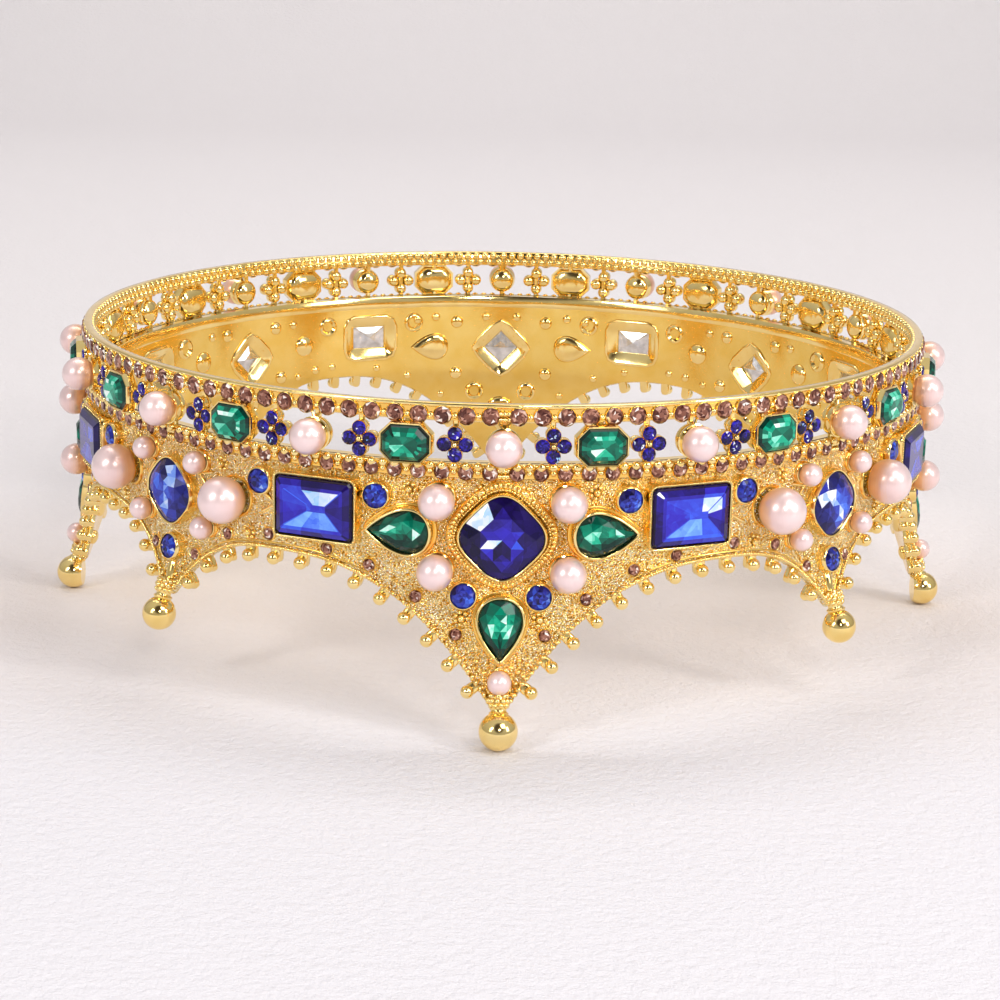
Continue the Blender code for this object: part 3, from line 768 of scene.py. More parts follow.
gaps = np.arange(CHIPS_PER_EIGHTH - 1) + 0.5
between = (eighths[:, None] + CHIP_FIRST + CHIP_PITCH * gaps).ravel()
grain_ball = ball(0.45, 10, 6)
prong_ball = ball(0.54, 12, 7)
cluster = np.array([-0.75, 0.0, 0.75])
cluster_azimuth = (eighths[:, None] + 0.6 * cluster[None]).ravel()
between_rims = np.concatenate([
    frames(between, UPPER_CHIP_HEIGHT - 0.10, radius=RIM_OUTER, lift=-0.15),
    frames(between, LOWER_CHIP_HEIGHT + 0.05, radius=RIM_OUTER, lift=-0.05)])
cluster_heights = [UPPER_CHIP_HEIGHT - 0.5, UPPER_CHIP_HEIGHT + 0.45,
                   LOWER_CHIP_HEIGHT - 0.5, LOWER_CHIP_HEIGHT + 0.5]
rim_grains = np.concatenate([frames(cluster_azimuth, level, radius=RIM_OUTER, lift=0.1)
                             for level in cluster_heights])
gold_piece("rim_grains", stamp(grain_ball, rim_grains), stamp(prong_ball, between_rims))

# %% [markdown]
# Everything along the scallops follows the edge at even steps. A curve object could carry copies,
# but the edge is a formula, so its length is summed numerically instead and read backwards: for a
# given length, interpolation finds the azimuth, the height and the direction of the edge there.

# %% Walking along the scallops
WALK_STEPS = 800


def edge_walk(first, pitch, count, offset):
    """Even places along one arch, moved outwards from the edge: azimuth, height and heading.

    First and pitch are shares of the arch's length, and the offset is along the edge's normal.
    """
    azimuth = np.linspace(TIP_HALF, 45.0 - TIP_HALF, WALK_STEPS)
    height = edge_height(azimuth)
    along = np.radians(azimuth) * RIM_OUTER
    run = np.concatenate([[0.0], np.cumsum(np.hypot(np.diff(along), np.diff(height)))])
    station = (first + pitch * np.arange(count)) * run[-1]
    tilt_x = np.interp(station, run, np.gradient(height, run))
    tilt_y = -np.interp(station, run, np.gradient(along, run))
    spot = np.interp(station, run, azimuth) + np.degrees(tilt_x * offset / RIM_OUTER)
    level = np.interp(station, run, height) + tilt_y * offset
    heading = np.degrees(np.arctan2(-tilt_x, tilt_y))
    return spot, level, heading


def all_arches(spot, level, heading):
    """The walk along one arch, mirrored and turned to all eight."""
    azimuth = np.concatenate([spot, 90.0 - spot])
    height = np.concatenate([level, level])
    spin = np.concatenate([heading, -heading])
    azimuth = (azimuth[None] + LONG_POINTS[:, None]).ravel()
    return azimuth, np.tile(height, 4), np.tile(spin, 4)


print("places on all arches for one on an arch:", len(all_arches(*edge_walk(0.5, 0.0, 1, 0.0))[0]))

# %% [markdown]
# A row of polished beads hangs along every scallop. Each is cast on a small rounded tab that runs
# back to the plate, thirteen from a point to the next. A bare ball would seem to float, so the tab
# is modelled too: a rounded square that narrows towards the bead.

# %% Edge beads
STUDS = 13
STUD_PITCH = 1.0 / (STUDS + 0.7)
STUD_RADIUS, STUD_OFFSET = 1.14, 1.45
TAB_CORNERS, TAB_LENGTH, TAB_BACK = 20, 1.45, 0.45


def stud_shape():
    """A bead in front of a tab, whose outline is the superellipse x^4 + y^4 = 1, stretched in y."""
    turn = even_turns(TAB_CORNERS)
    reach = (np.cos(turn) ** 4 + np.sin(turn) ** 4) ** -0.25
    outline = np.column_stack([reach * np.cos(turn), TAB_LENGTH * reach * np.sin(turn) - TAB_BACK])
    levels = [(-1.45, 0.82), (-1.25, 0.98), (-0.40, 1.0), (-0.10, 0.86), (0.02, 0.62)]
    tab = loft([at_level(outline * [scale, 1.0], level) for level, scale in levels])
    bead = moved(ball(STUD_RADIUS, 18, 11), (0.0, 0.18, 0.35))
    return together(tab, bead)


stud_walk = edge_walk(0.85 * STUD_PITCH, STUD_PITCH, STUDS, STUD_OFFSET)
stud_azimuth, stud_height, stud_spin = all_arches(*stud_walk)
stud_places = frames(stud_azimuth, stud_height, spin=stud_spin)
gold_piece("edge_beads", stamp(stud_shape(), stud_places), smooth=50.0)

# %% [markdown]
# Inside the beads the edge carries twisted wire. Down the points it is coarse, a rope of slanting
# grains that grow towards the tip. Over the arches it is a fine cord with a smooth rounded groove
# beside it. A twisted pair of tubes would need many more faces than these slanting grains, which
# look the same from a hand's length away. The groove is a small section carried along the edge,
# and it sinks into the plate where the coarse rope takes over.

# %% Rope, cord and groove
ROPE_GRAINS, ROPE_OFFSET, ROPE_SLANT = 66, -0.36, 38.0
rope_walk = edge_walk(0.006, 0.988 / ROPE_GRAINS, ROPE_GRAINS, ROPE_OFFSET)
rope_azimuth, rope_height, rope_spin = all_arches(*rope_walk)
rope = frames(rope_azimuth, rope_height, lift=0.24, spin=rope_spin + ROPE_SLANT)
grain_size = 0.80 + 0.45 * (CREST_HEIGHT - rope_height) / (CREST_HEIGHT - LONG_TIP)
rope[:, :3, :3] *= grain_size[:, None, None]
ROPE_TOP_LONG, ROPE_TOP_SHORT = 27.5, 22.5
coarse = rope_height < np.where(near_long(rope_azimuth), ROPE_TOP_LONG, ROPE_TOP_SHORT)
rope_grain = moved(ball(0.44, 8, 5), scale=(0.80, 1.25, 1.0))
CORD_GRAINS, CORD_OFFSET, CORD_SLANT, CORD_FOOT = 150, -0.20, 42.0, 25.5
cord_walk = edge_walk(0.004, 0.992 / CORD_GRAINS, CORD_GRAINS, CORD_OFFSET)
cord_azimuth, cord_height, cord_spin = all_arches(*cord_walk)
cord = frames(cord_azimuth, cord_height, lift=0.22, spin=cord_spin + CORD_SLANT)
cord = cord[(cord_height > CORD_FOOT) | ~near_long(cord_azimuth)]
cord_grain = moved(ball(0.30, 6, 4), scale=(0.85, 1.55, 1.0))
GROOVE_STEPS, GROOVE_FOOT, GROOVE_SINK = 120, 25.0, 0.35


def edge_strip(section):
    """A band along every scallop, from a closed section of (offset, lift) pairs.

    Each lift is mixed with a depth below the plate, by a share that grows over 3 mm of height.
    """
    strips = []
    for offset, lift in section:
        walk = edge_walk(0.0, 1.0 / (GROOVE_STEPS - 1), GROOVE_STEPS, offset)
        spot, level, heading = all_arches(*walk)
        shown = np.where(near_long(spot), np.clip((level - GROOVE_FOOT) / 3.0, 0.0, 1.0), 1.0)
        sunk = lift * shown - GROOVE_SINK * (1.0 - shown)
        strips.append(frames(spot, level, lift=sunk)[:, :3, 3].reshape(8, GROOVE_STEPS, 3))
    rings = np.stack(strips, axis=2)
    return together(*(loft(ring if index % 2 == 0 else ring[::-1])
                      for index, ring in enumerate(rings)))


groove = edge_strip([(-0.74, -0.3), (-0.78, 0.06), (-0.93, 0.14), (-1.08, 0.06), (-1.12, -0.3)])
gold_piece("edge_rope", stamp(rope_grain, rope[coarse]), stamp(cord_grain, cord))
# The groove's deeper gold is painted shade.
gold_piece("edge_groove", groove, finish=shaded_gold)

# %% [markdown]
# Each point ends in a polished ball under a short collar with rows of small lumps. The long points'
# balls carry the crown. They touch the floor, so they are what the shadow starts from. A whole
# sphere would reach further back than the solid does, so each is cut flat behind, as the cast ones
# are. The collar is turned on a lathe and leans back with the plate.

# %% Ball tips
BALL_RADIUS, SHORT_BALL_LESS = 3.25, 0.3
BALL_FORWARD, BALL_BACK = 0.34, 1.9
NECK_TILT = 0.30
long_ball_radius = plate_radius(LONG_POINTS, LONG_BALL) + BALL_FORWARD
short_ball_radius = plate_radius(SHORT_POINTS, SHORT_BALL) + BALL_FORWARD
ball_places = np.concatenate([
    frames(LONG_POINTS, BALL_RADIUS, radius=long_ball_radius),
    frames(SHORT_POINTS, SHORT_BALL, radius=short_ball_radius)])
standing = ball_places.copy()
standing[:, :3, 1], standing[:, :3, 2] = -ball_places[:, :3, 2], ball_places[:, :3, 1]


def flat_backed_ball(radius, count=48, levels=22):
    """A sphere cut flat behind its middle: r = R sin p, z = -R cos p, from the cut's angle p."""
    polar = np.linspace(math.acos(BALL_BACK / radius), np.pi - 0.04, levels)
    return lathe(np.stack([radius * np.sin(polar), -radius * np.cos(polar)], axis=-1), count)


LUMP_RADIUS = 0.48
LUMP_ROWS = [(4.25, 1.36, 9), (5.00, 1.42, 9), (5.80, 1.30, 8)]


def neck_shape():
    """A collar with two soft rings, then rows of lumps: (height, radius, number) for each."""
    collar = lathe([(1.25, 2.2), (1.55, 2.70), (1.68, 3.00), (1.32, 3.30), (1.28, 3.55), (1.40, 3.95),
                    (1.42, 4.80), (1.30, 5.60), (0.90, 6.40)], 22)
    rows = []
    for level, radius, count in LUMP_ROWS:
        turn = 2.0 * np.pi * (np.arange(count) + 0.5 * level) / count
        spots = local_frames(radius * np.cos(turn), radius * np.sin(turn), turn, level)
        rows.append(stamp(ball(LUMP_RADIUS, 10, 6), spots))
    return together(collar, *rows)


neck_places = standing.copy()
outward = directions(np.concatenate([LONG_POINTS, SHORT_POINTS]))[1]
tilted = UP - outward * NECK_TILT
neck_places[:, :3, 2] = tilted / np.linalg.norm(tilted, axis=1, keepdims=True)
neck_places[:, :3, 1] = np.cross(neck_places[:, :3, 2], neck_places[:, :3, 0])
gold_piece("ball_tips", stamp(flat_backed_ball(BALL_RADIUS), ball_places[:4]),
           stamp(flat_backed_ball(BALL_RADIUS - SHORT_BALL_LESS), ball_places[4:]),
           stamp(neck_shape(), neck_places), smooth=50.0)

# %% [markdown]
# The big stones differ only in their outline: a cushion on its corner, a teardrop or a circle. Each
# outline is a function of an angle, so the same cut, bezel and grains can follow any of them. Traced
# outlines would need one drawing for each stone.

# %% Outlines of the stones
def round_outline(radius):
    """A circle: x = R cos t, y = R sin t."""
    return lambda t: radius * circle_points(t)


def cushion_outline(side, power=3.3):
    """Superellipse |u|^p + |v|^p = 1 turned to stand on a corner."""
    def at(t):
        """The superellipse at angles t."""
        u = np.abs(np.cos(t + np.pi / 4.0)) ** power
        v = np.abs(np.sin(t + np.pi / 4.0)) ** power
        reach = 0.5 * side * (u + v) ** (-1.0 / power)
        return reach[..., None] * circle_points(t)
    return at


PEAR_FULLNESS = 0.77


def pear_outline(length, width, heading):
    """Teardrop: x = L/2 cos t, y = W/2 sin t |sin(t/2)| / 0.77, turned to its heading."""
    head = math.radians(heading)

    def at(t):
        """The teardrop at angles t."""
        x = 0.5 * length * np.cos(t)
        y = 0.5 * width * np.sin(t) * np.abs(np.sin(t / 2.0)) / PEAR_FULLNESS
        return np.stack([x * math.cos(head) - y * math.sin(head),
                         x * math.sin(head) + y * math.cos(head)], axis=-1)
    return at


print("a cushion's corner:", cushion_outline(12.0)(np.array([0.0]))[0].round(2), "mm")

# %% [markdown]
# The stones are cut on one plan: a table, star facets round it, kites down to the girdle and pairs
# of facets between the kites. A plain block with bevelled edges would lack the sparkle, and a true
# pavilion below the girdle would be hidden by the foil. So what is seen through the table, the
# facets on the stone's back, is drawn as more facets in the table itself.

# %% The brilliant cut
MAINS = 8
GIRDLE_STEPS = 6
STONE_FOOT, GIRDLE, TABLE = 0.5, 1.75, 2.95
TABLE_SHARE, INNER_SHARE, STAR_SHARE, STAR_RISE = 0.60, 0.34, 0.80, 0.62
SKIRT_DEPTH, BACK_SHARE = 0.35, 0.55


def cut_stone(outline, girdle=GIRDLE, table=TABLE, foot=STONE_FOOT, table_share=TABLE_SHARE):
    """One stone as triangles, in this order: table 24, stars 8, kites 16, girdle facets, skirt.

    Mains stand at half steps of an eighth of a turn, pairs at whole steps.
    """
    whole = even_turns(MAINS)
    half = whole + np.pi / MAINS
    fine = even_turns(MAINS * GIRDLE_STEPS)

    rise = table - girdle
    inner = at_level(INNER_SHARE * outline(whole), table)
    corner = at_level(table_share * outline(half), table)
    star = at_level(STAR_SHARE * outline(whole), girdle + STAR_RISE * rise)
    edge = at_level(outline(fine), girdle)
    low_edge = at_level(outline(fine), girdle - SKIRT_DEPTH)
    back = at_level(BACK_SHARE * outline(fine), foot)
    centre = np.array([[0.0, 0.0, table], [0.0, 0.0, foot]])
    points = np.concatenate([inner, corner, star, edge, low_edge, back, centre])
    ring = np.arange(MAINS)
    after = (ring + 1) % MAINS
    before = (ring - 1) % MAINS
    inner_at, corner_at, star_at, edge_at = ring, ring + MAINS, ring + 2 * MAINS, 3 * MAINS
    count = MAINS * GIRDLE_STEPS
    middle_at = edge_at + 3 * count

    def fan(a, b, c):
        """Triangles from three lists of corners, of which any may be a single one."""
        return np.stack(np.broadcast_arrays(a, b, c), axis=-1)

    kite_foot = edge_at + (ring * GIRDLE_STEPS + GIRDLE_STEPS // 2) % count
    faces = [fan(middle_at, inner_at, inner_at[after]), fan(inner_at, corner_at, inner_at[after]),
             fan(inner_at, corner_at[before], corner_at),
             fan(corner_at[before], star_at, corner_at),
             fan(corner_at, star_at, kite_foot), fan(corner_at, kite_foot, star_at[after])]
    step = np.arange(count)
    nearest = ((step + GIRDLE_STEPS // 2) // GIRDLE_STEPS) % MAINS
    faces.append(fan(2 * MAINS + nearest, edge_at + step, edge_at + (step + 1) % count))
    skirt = wrap_faces(3, count) + edge_at
    skirt = skirt[:, ::-1]
    faces.append(skirt[:, [0, 1, 2]])
    faces.append(skirt[:, [0, 2, 3]])
    back_at = edge_at + 2 * count
    faces.append(fan(middle_at + 1, back_at + (step + 1) % count, back_at + step))
    return points, [np.concatenate(faces)]


print("triangles of a brilliant:", len(cut_stone(round_outline(1.0))[1][0]))

# %% [markdown]
# Each facet gets its tone, listed one by one and read as light or dark from the way such stones look:
# for every ring of facets there are eight numbers in hundredths, from the right side round
# anticlockwise.
# Copies of a stone would look stamped, so all but the first, which faces the viewer, get a little
# chance.

# %% Tones for each facet
TABLE_FACETS = 24
SKIRT_TONE, TONE_SPREAD = 4, 0.16


def facet_tones(table_inner, table_middle, table_outer, stars, kites, pairs):
    """Spreads one tone in hundredths for each facet over its triangles, in cut_stone's order.

    The kites have eight tones, or sixteen where their two halves differ.
    """
    count = MAINS * GIRDLE_STEPS
    nearest = ((np.arange(count) + GIRDLE_STEPS // 2) // GIRDLE_STEPS) % MAINS
    dark = np.full(5 * count, SKIRT_TONE)
    tones = np.concatenate([table_inner, table_middle, table_outer, stars,
                            np.resize(kites, 2 * MAINS), np.asarray(pairs)[nearest], dark])
    return tones / 100.0


def varied(tones, copies, seed, amount=TONE_SPREAD):
    """The same tones for each copy, plus normal noise on all but the first, kept from 0 to 1."""
    chance = np.random.default_rng(seed)
    rows = np.tile(tones, (copies, 1))
    facets = TABLE_FACETS + 3 * MAINS
    shift = chance.normal(0.0, amount, (copies, facets))
    rows[1:, :facets] += shift[1:]
    return np.clip(rows, 0.0, 1.0)


print("tones of a brilliant:", len(facet_tones(*[[50] * MAINS] * 6)))

# %% [markdown]
# The large blue cushions stand on the long points, and smaller ones, seen from the side, on the
# short points. The front one has a dark table with a white flash in its upper left, where the
# daylight is mirrored. Those at the sides turn more of their lit facets to the viewer, and each side
# has its own pattern.

# %% Cushion stones
CUSHION_A, CUSHION_B = (12.0, 3.3), (10.0, 2.9)
cushion_a_tones = facet_tones(
    [42, 46, 44, 40, 92, 10, 16, 44], [50, 40, 34, 40, 100, 8, 14, 66],
    [26, 30, 36, 32, 28, 48, 28, 44], [20, 16, 28, 97, 14, 28, 40, 32],
    [18, 12, 10, 97, 10, 18, 30, 24, 18, 12, 97, 10, 10, 18, 30, 24],
    [16, 20, 10, 100, 8, 12, 22, 18])
cushion_right_tones = facet_tones(
    [60, 56, 62, 84, 52, 50, 88, 70], [58, 52, 66, 97, 42, 44, 97, 66],
    [54, 46, 44, 99, 36, 38, 76, 60], [48, 40, 36, 99, 30, 34, 54, 54],
    [42, 34, 26, 95, 26, 30, 40, 48], [34, 28, 20, 44, 22, 26, 32, 40])
cushion_left_tones = facet_tones(
    [56, 76, 54, 58, 46, 62, 84, 52], [52, 92, 48, 66, 44, 56, 90, 48],
    [46, 94, 34, 68, 46, 46, 86, 42], [38, 92, 26, 60, 42, 40, 66, 36],
    [34, 86, 22, 54, 38, 34, 48, 34], [30, 50, 18, 44, 30, 26, 34, 28])
cushion_a = cut_stone(cushion_outline(*CUSHION_A))
cushion_b = cut_stone(cushion_outline(*CUSHION_B))
cushion_a_places = frames(LONG_POINTS, CUSHION_A_HEIGHT)
cushion_b_places = frames(SHORT_POINTS, CUSHION_B_HEIGHT)


def set_stones(name, stone, places, finish, tones, nodes):
    """Makes one piece of all the stones of a kind."""
    make_piece(name, stamp(stone, places), finish, nodes, tones=tones)


def numbered(stem, first=1, step=1):
    """The names of four solids: the stem and every step-th number from the first."""
    return [f"{stem}_{first + step * index}" for index in range(4)]


set_stones("cushion_stones_a", cushion_a, cushion_a_places, soft_sapphire,
           varied(cushion_a_tones, 4, 21), numbered("cushion_a"))
cushion_b_tones = np.concatenate([varied(cushion_right_tones, 2, 22, 0.08),
                                  varied(cushion_left_tones, 2, 23, 0.08)[::-1]])
set_stones("cushion_stones_b", cushion_b, cushion_b_places, steel_sapphire,
           cushion_b_tones, numbered("cushion_b"))

# %% [markdown]
# Three green pears stand round each large cushion: one below it, point up, and one at each side,
# point outwards. They share the brilliant's plan, and only their heading and their tones differ, so
# one loop sets all three rows.

# %% Pear stones
PEAR_SIZE = (10.0, 7.0)
pear_low_tones = facet_tones(
    [42, 66, 88, 60, 70, 80, 62, 36], [34, 90, 76, 98, 72, 94, 70, 30],
    [22, 50, 95, 64, 56, 66, 97, 46], [20, 38, 56, 60, 62, 54, 60, 34],
    [22, 30, 42, 52, 48, 44, 30, 20], [10, 16, 26, 34, 28, 30, 20, 12])
pear_right_tones = facet_tones(
    [60, 66, 58, 62, 50, 36, 34, 46], [80, 62, 60, 92, 78, 22, 16, 30],
    [50, 98, 62, 66, 80, 44, 18, 24], [40, 56, 46, 52, 88, 36, 22, 30],
    [46, 38, 42, 60, 52, 24, 16, 24], [24, 22, 18, 26, 36, 14, 8, 14])
pear_left_tones = facet_tones(
    [52, 44, 34, 40, 62, 64, 72, 60], [50, 18, 14, 30, 66, 64, 96, 84],
    [46, 24, 16, 22, 52, 66, 60, 98], [40, 30, 22, 28, 96, 56, 50, 44],
    [52, 24, 16, 30, 60, 46, 40, 34], [30, 16, 8, 12, 34, 24, 18, 20])
PEAR_OFFSET, PEAR_HEIGHT, PEAR_LOW_HEIGHT = 12.15, 35.3, 19.35
pear_rows = [
    ("low", -90.0, frames(LONG_POINTS, PEAR_LOW_HEIGHT), pear_low_tones, 31,
     numbered("pear_low")),
    ("right", 0.0, frames(LONG_POINTS + PEAR_OFFSET, PEAR_HEIGHT), pear_right_tones, 32,
     numbered("pear_side", 2, 2)),
    ("left", 180.0, frames(LONG_POINTS - PEAR_OFFSET, PEAR_HEIGHT), pear_left_tones, 33,
     numbered("pear_side", 1, 2))]
for side, heading, places, tones, seed, nodes in pear_rows:
    set_stones(f"pear_stones_{side}", cut_stone(pear_outline(*PEAR_SIZE, heading)), places,
               emerald_glass, varied(tones, 4, seed), nodes)

# %% [markdown]
# The rectangles and the gallery's octagons are step cut: straight bands of facets, one inside the
# other, round a long table. Insetting a box by hand gives the same bands, but each facet must be
# able to carry its own tone. Rings of corners at growing heights give all of it, and every side is
# cut in thirds, so that a reflection can end in the middle of a band.

# %% The step cut
SIDE_PARTS = 3
BAND = 8 * SIDE_PARTS
STEP_SKIRT_TONE = 3


def cut_corners(width, height, cut):
    """A rectangle with its corners cut off, anticlockwise from the right side."""
    a, b = 0.5 * width, 0.5 * height
    return np.array([(a, -b + cut), (a, b - cut), (a - cut, b), (-a + cut, b),
                     (-a, b - cut), (-a, -b + cut), (-a + cut, -b), (a - cut, -b)])


def step_stone(rings, foot):
    """Rings of eight corners, outermost first, each with its height, over a smaller foot.

    A band between corners k and k + 1 becomes three quads, so that its facets can differ.
    """
    rows = []
    for outline, level in rings:
        ahead = np.roll(outline, -1, axis=0)
        shares = (np.arange(SIDE_PARTS) / SIDE_PARTS)[None, :, None]
        fine = outline[:, None] + shares * (ahead - outline)[:, None]
        rows.append(at_level(fine.reshape(-1, 2), level))
    rows.insert(0, at_level(rows[0][:, :2] * 0.6, foot))
    points = np.concatenate(rows + [np.array([[0.0, 0.0, rings[-1][1]], [0.0, 0.0, foot]])])
    quads = wrap_faces(len(rows), BAND)
    last = (len(rows) - 1) * BAND
    ring = np.arange(BAND)
    centre = len(points) - 2
    table = np.stack([last + ring, last + (ring + 1) % BAND, np.full(BAND, centre)], axis=-1)
    back = np.stack([(ring + 1) % BAND, ring, np.full(BAND, centre + 1)], axis=-1)
    return points, [np.concatenate([quads[:, [0, 1, 2]], quads[:, [0, 2, 3]], table, back])]


def step_tones(bands, table):
    """Tones in hundredths for step_stone: the bands' two halves, the table and the back."""
    dark = np.full(BAND, STEP_SKIRT_TONE)
    quads = np.concatenate([dark, *bands])
    return np.concatenate([quads, quads, table, dark]) / 100.0


def by_side(right, top, left, bottom, corner):
    """A band's tones from three for each long side and one for the corners, from the right on."""
    chamfer = [corner] * SIDE_PARTS
    return np.concatenate([right, chamfer, top, chamfer, left, chamfer, bottom, chamfer])


def jittered(tones, copies, seed, amount):
    """Copies of the tones plus normal noise, the first one as it is; the table moves as one."""
    chance = np.random.default_rng(seed)
    quads = (len(tones) - 2 * BAND) // 2
    shift = chance.normal(0.0, amount, (copies, quads))
    shift = np.concatenate([shift, shift, np.zeros((copies, 2 * BAND))], axis=1)
    shift[:, -2 * BAND:-BAND] = chance.normal(0.0, amount, (copies, 1))
    shift[0] = 0.0
    return np.clip(tones[None] + shift, 0.0, 1.0)


print("tones of a band:", len(by_side(*[[50] * SIDE_PARTS] * 4, 50)))

# %% [markdown]
# Above the middle of each arch lies a blue rectangle. Seen through its table, the back makes an
# envelope of four flaps round a short ridge. That ridge sits off the middle, because the viewer
# looks from above and from the side. Rectangles left and right of a point mirror different things,
# and those at the crown's sides get less light.

# %% Rectangles
SIDE_SHADE, FRONT_SHADE = 0.66, 0.97
rectangle_rings = [
    (cut_corners(14.0, 10.0, 0.5), GIRDLE), (cut_corners(13.3, 9.3, 0.4), GIRDLE + 0.55),
    (cut_corners(11.4, 7.5, 0.2), TABLE), (cut_corners(10.2, 6.3, 0.15), TABLE),
    (cut_corners(3.4, 1.2, 0.1) + np.array([0.9, 0.25]), TABLE)]
rectangle_tones = step_tones([
    by_side([10, 6, 8], [6, 5, 10], [12, 6, 10], [8, 12, 5], 4),
    by_side([32, 20, 28], [24, 18, 40], [42, 32, 28], [50, 32, 46], 20),
    by_side([38, 32, 44], [46, 32, 58], [56, 44, 36], [70, 60, 56], 56),
    by_side([36, 30, 34], [99, 94, 58], [56, 52, 48], [86, 78, 82], 72)],
    [56] * 12 + [64] * 6 + [56] * 6)
right_rectangle_tones = step_tones([
    by_side([10, 8, 14], [10, 8, 12], [14, 10, 8], [26, 12, 30], 5),
    by_side([20, 16, 28], [48, 28, 32], [34, 28, 24], [30, 50, 58], 16),
    by_side([30, 34, 58], [64, 44, 42], [46, 40, 36], [60, 70, 72], 46),
    by_side([34, 44, 97], [98, 62, 60], [56, 54, 50], [80, 84, 66], 62)],
    [62] * 10 + [66] * 8 + [60] * 6)
rectangle = step_stone(rectangle_rings, STONE_FOOT)
rectangle_places = frames(rectangle_azimuths, RECTANGLE_HEIGHT)
at_side = np.abs(np.sin(np.radians(rectangle_azimuths))) > 0.9
side_shade = np.where(at_side, SIDE_SHADE, FRONT_SHADE)[:, None]
both_sides = np.concatenate([jittered(rectangle_tones, 4, 41, 0.06),
                             jittered(right_rectangle_tones, 4, 43, 0.06)])
set_stones("rectangle_stones", rectangle, rectangle_places, clear_sapphire,
           side_shade * both_sides, numbered("rectangle", 1, 2) + numbered("rectangle", 2, 2))

# %% [markdown]
# Sixty-four motifs fill the gallery between the rims, in a row that repeats: pearl, clover, octagon,
# clover. The octagons are green step cuts with large chamfers and one pale flap in the table, a
# painted reflection. The four that stand between the front and the sides are a little lighter, which
# is painted light.

# %% Octagons
GALLERY_FACE, GALLERY_MIDDLE = 79.4, 50.4
MOTIF_STEP = 360.0 / 64.0
motifs = np.arange(64)
pearl_azimuths = MOTIF_STEP * motifs[motifs % 4 == 0]
octagon_azimuths = MOTIF_STEP * motifs[motifs % 4 == 2]
clover_azimuths = MOTIF_STEP * motifs[motifs % 2 == 1]
octagon_rings = [
    (cut_corners(8.0, 6.0, 1.6), 2.3), (cut_corners(7.3, 5.3, 1.45), 2.85),
    (cut_corners(5.9, 4.0, 1.1), 3.45), (cut_corners(4.6, 2.7, 0.8), 3.6)]
octagon_tones = step_tones([
    by_side([16, 10, 20], [24, 14, 10], [16, 26, 10], [10, 16, 14], 12),
    by_side([44, 30, 50], [58, 46, 40], [42, 62, 36], [30, 52, 34], 34),
    by_side([62, 50, 66], [76, 70, 92], [50, 60, 46], [62, 52, 66], 48)],
    [48] * 5 + [60] * 4 + [52] * 5 + [92] * 4 + [74] * 3 + [46] * 3)
octagon = step_stone(octagon_rings, 0.9)
octagon_places = frames(octagon_azimuths, GALLERY_MIDDLE, radius=GALLERY_FACE)
# Painted light: the four octagons between the front and the sides are lighter.
octagon_light = np.zeros((16, 1))
octagon_light[[1, 2, 13, 14]] = [[0.16], [0.14], [0.12], [0.08]]
all_octagon_tones = np.clip(jittered(octagon_tones, 16, 42, 0.11) + octagon_light, 0.0, 1.0)
set_stones("octagon_stones", octagon, octagon_places, emerald_glass,
           all_octagon_tones, [])

# %% [markdown]
# Small round sapphires stand in tubes beside the big stones, above the rectangles and at the foot of
# each cushion. Real ones are tiny brilliants, so they take the brilliant's plan with a round outline
# and a flatter crown.

# %% Round stones
ROUND_RADIUS = 2.05
round_seats = [mirrored(LONG_POINTS, 4.4, 24.9), mirrored(LONG_POINTS + 22.5, 7.6, 41.0),
               mirrored(LONG_POINTS - 22.5, 7.6, 41.0), (SHORT_POINTS, np.full(4, 25.5))]
round_places = frames(*all_seats(round_seats))
round_stone = cut_stone(round_outline(ROUND_RADIUS), 1.5, 2.25, 0.3, 0.55)
round_tones = facet_tones(
    [36, 30, 44, 28, 40, 18, 30, 52], [28, 44, 32, 36, 46, 24, 34, 66],
    [34, 30, 42, 26, 38, 32, 40, 56], [36, 44, 30, 42, 46, 34, 48, 60],
    [48, 38, 44, 30, 40, 52, 56, 70], [30, 36, 34, 28, 38, 32, 40, 50])
set_stones("round_stones", round_stone, round_places, steel_sapphire,
           varied(round_tones, len(round_places), 51, 0.12), [])

# %% [markdown]
# A clover of the gallery is four tiny blue stones round a gold bead. As brilliants they would have
# over forty thousand triangles that nobody sees, so the rims' simple stone serves again, with ten
# sides and dark tones.

# %% Clovers
PETAL_RADIUS, PETAL_OFFSET, PETAL_SIDES, CLOVER_LIFT = 1.20, 1.76, 10, 1.6
petal_turns = np.radians(90.0 * np.arange(4))
clover_frames = frames(clover_azimuths, GALLERY_MIDDLE, radius=GALLERY_FACE, lift=CLOVER_LIFT)
petal_places = np.repeat(clover_frames, 4, axis=0)
petal_x = np.tile(PETAL_OFFSET * np.cos(petal_turns), len(clover_frames))[:, None]
petal_y = np.tile(PETAL_OFFSET * np.sin(petal_turns), len(clover_frames))[:, None]
petal_places[:, :3, 3] += petal_x * petal_places[:, :3, 0] + petal_y * petal_places[:, :3, 1]
petal = chip_gem(PETAL_RADIUS, PETAL_SIDES)
petal_tones = random_tones(len(petal_places), len(petal[1][0]), 52, 0.10, 0.44, 0.03)
make_piece("clover_stones", stamp(petal, petal_places), sapphire_glass,
           tones=petal_tones)

# %% [markdown]
# A bezel is a thin wall that hugs the girdle of a stone and rolls over it a little. Solidify and
# Bevel could thicken an outline, but the rolled lip wants its own section. So the section, a list
# of offsets and heights, is carried along the stone's outline, and each offset moves it along the
# outline's normal. Round tubes are turned instead.

# %% Bezels
BEZEL_TURNS = even_turns(64)
BEZEL_RECTANGLE = (14.1, 10.1, 0.7)


def outward_normals(outline):
    """Unit normals of a closed anticlockwise outline: the tangent turned by a quarter."""
    tangent = np.roll(outline, -1, axis=0) - np.roll(outline, 1, axis=0)
    normal = np.column_stack([tangent[:, 1], -tangent[:, 0]])
    return normal / np.linalg.norm(normal, axis=1, keepdims=True)


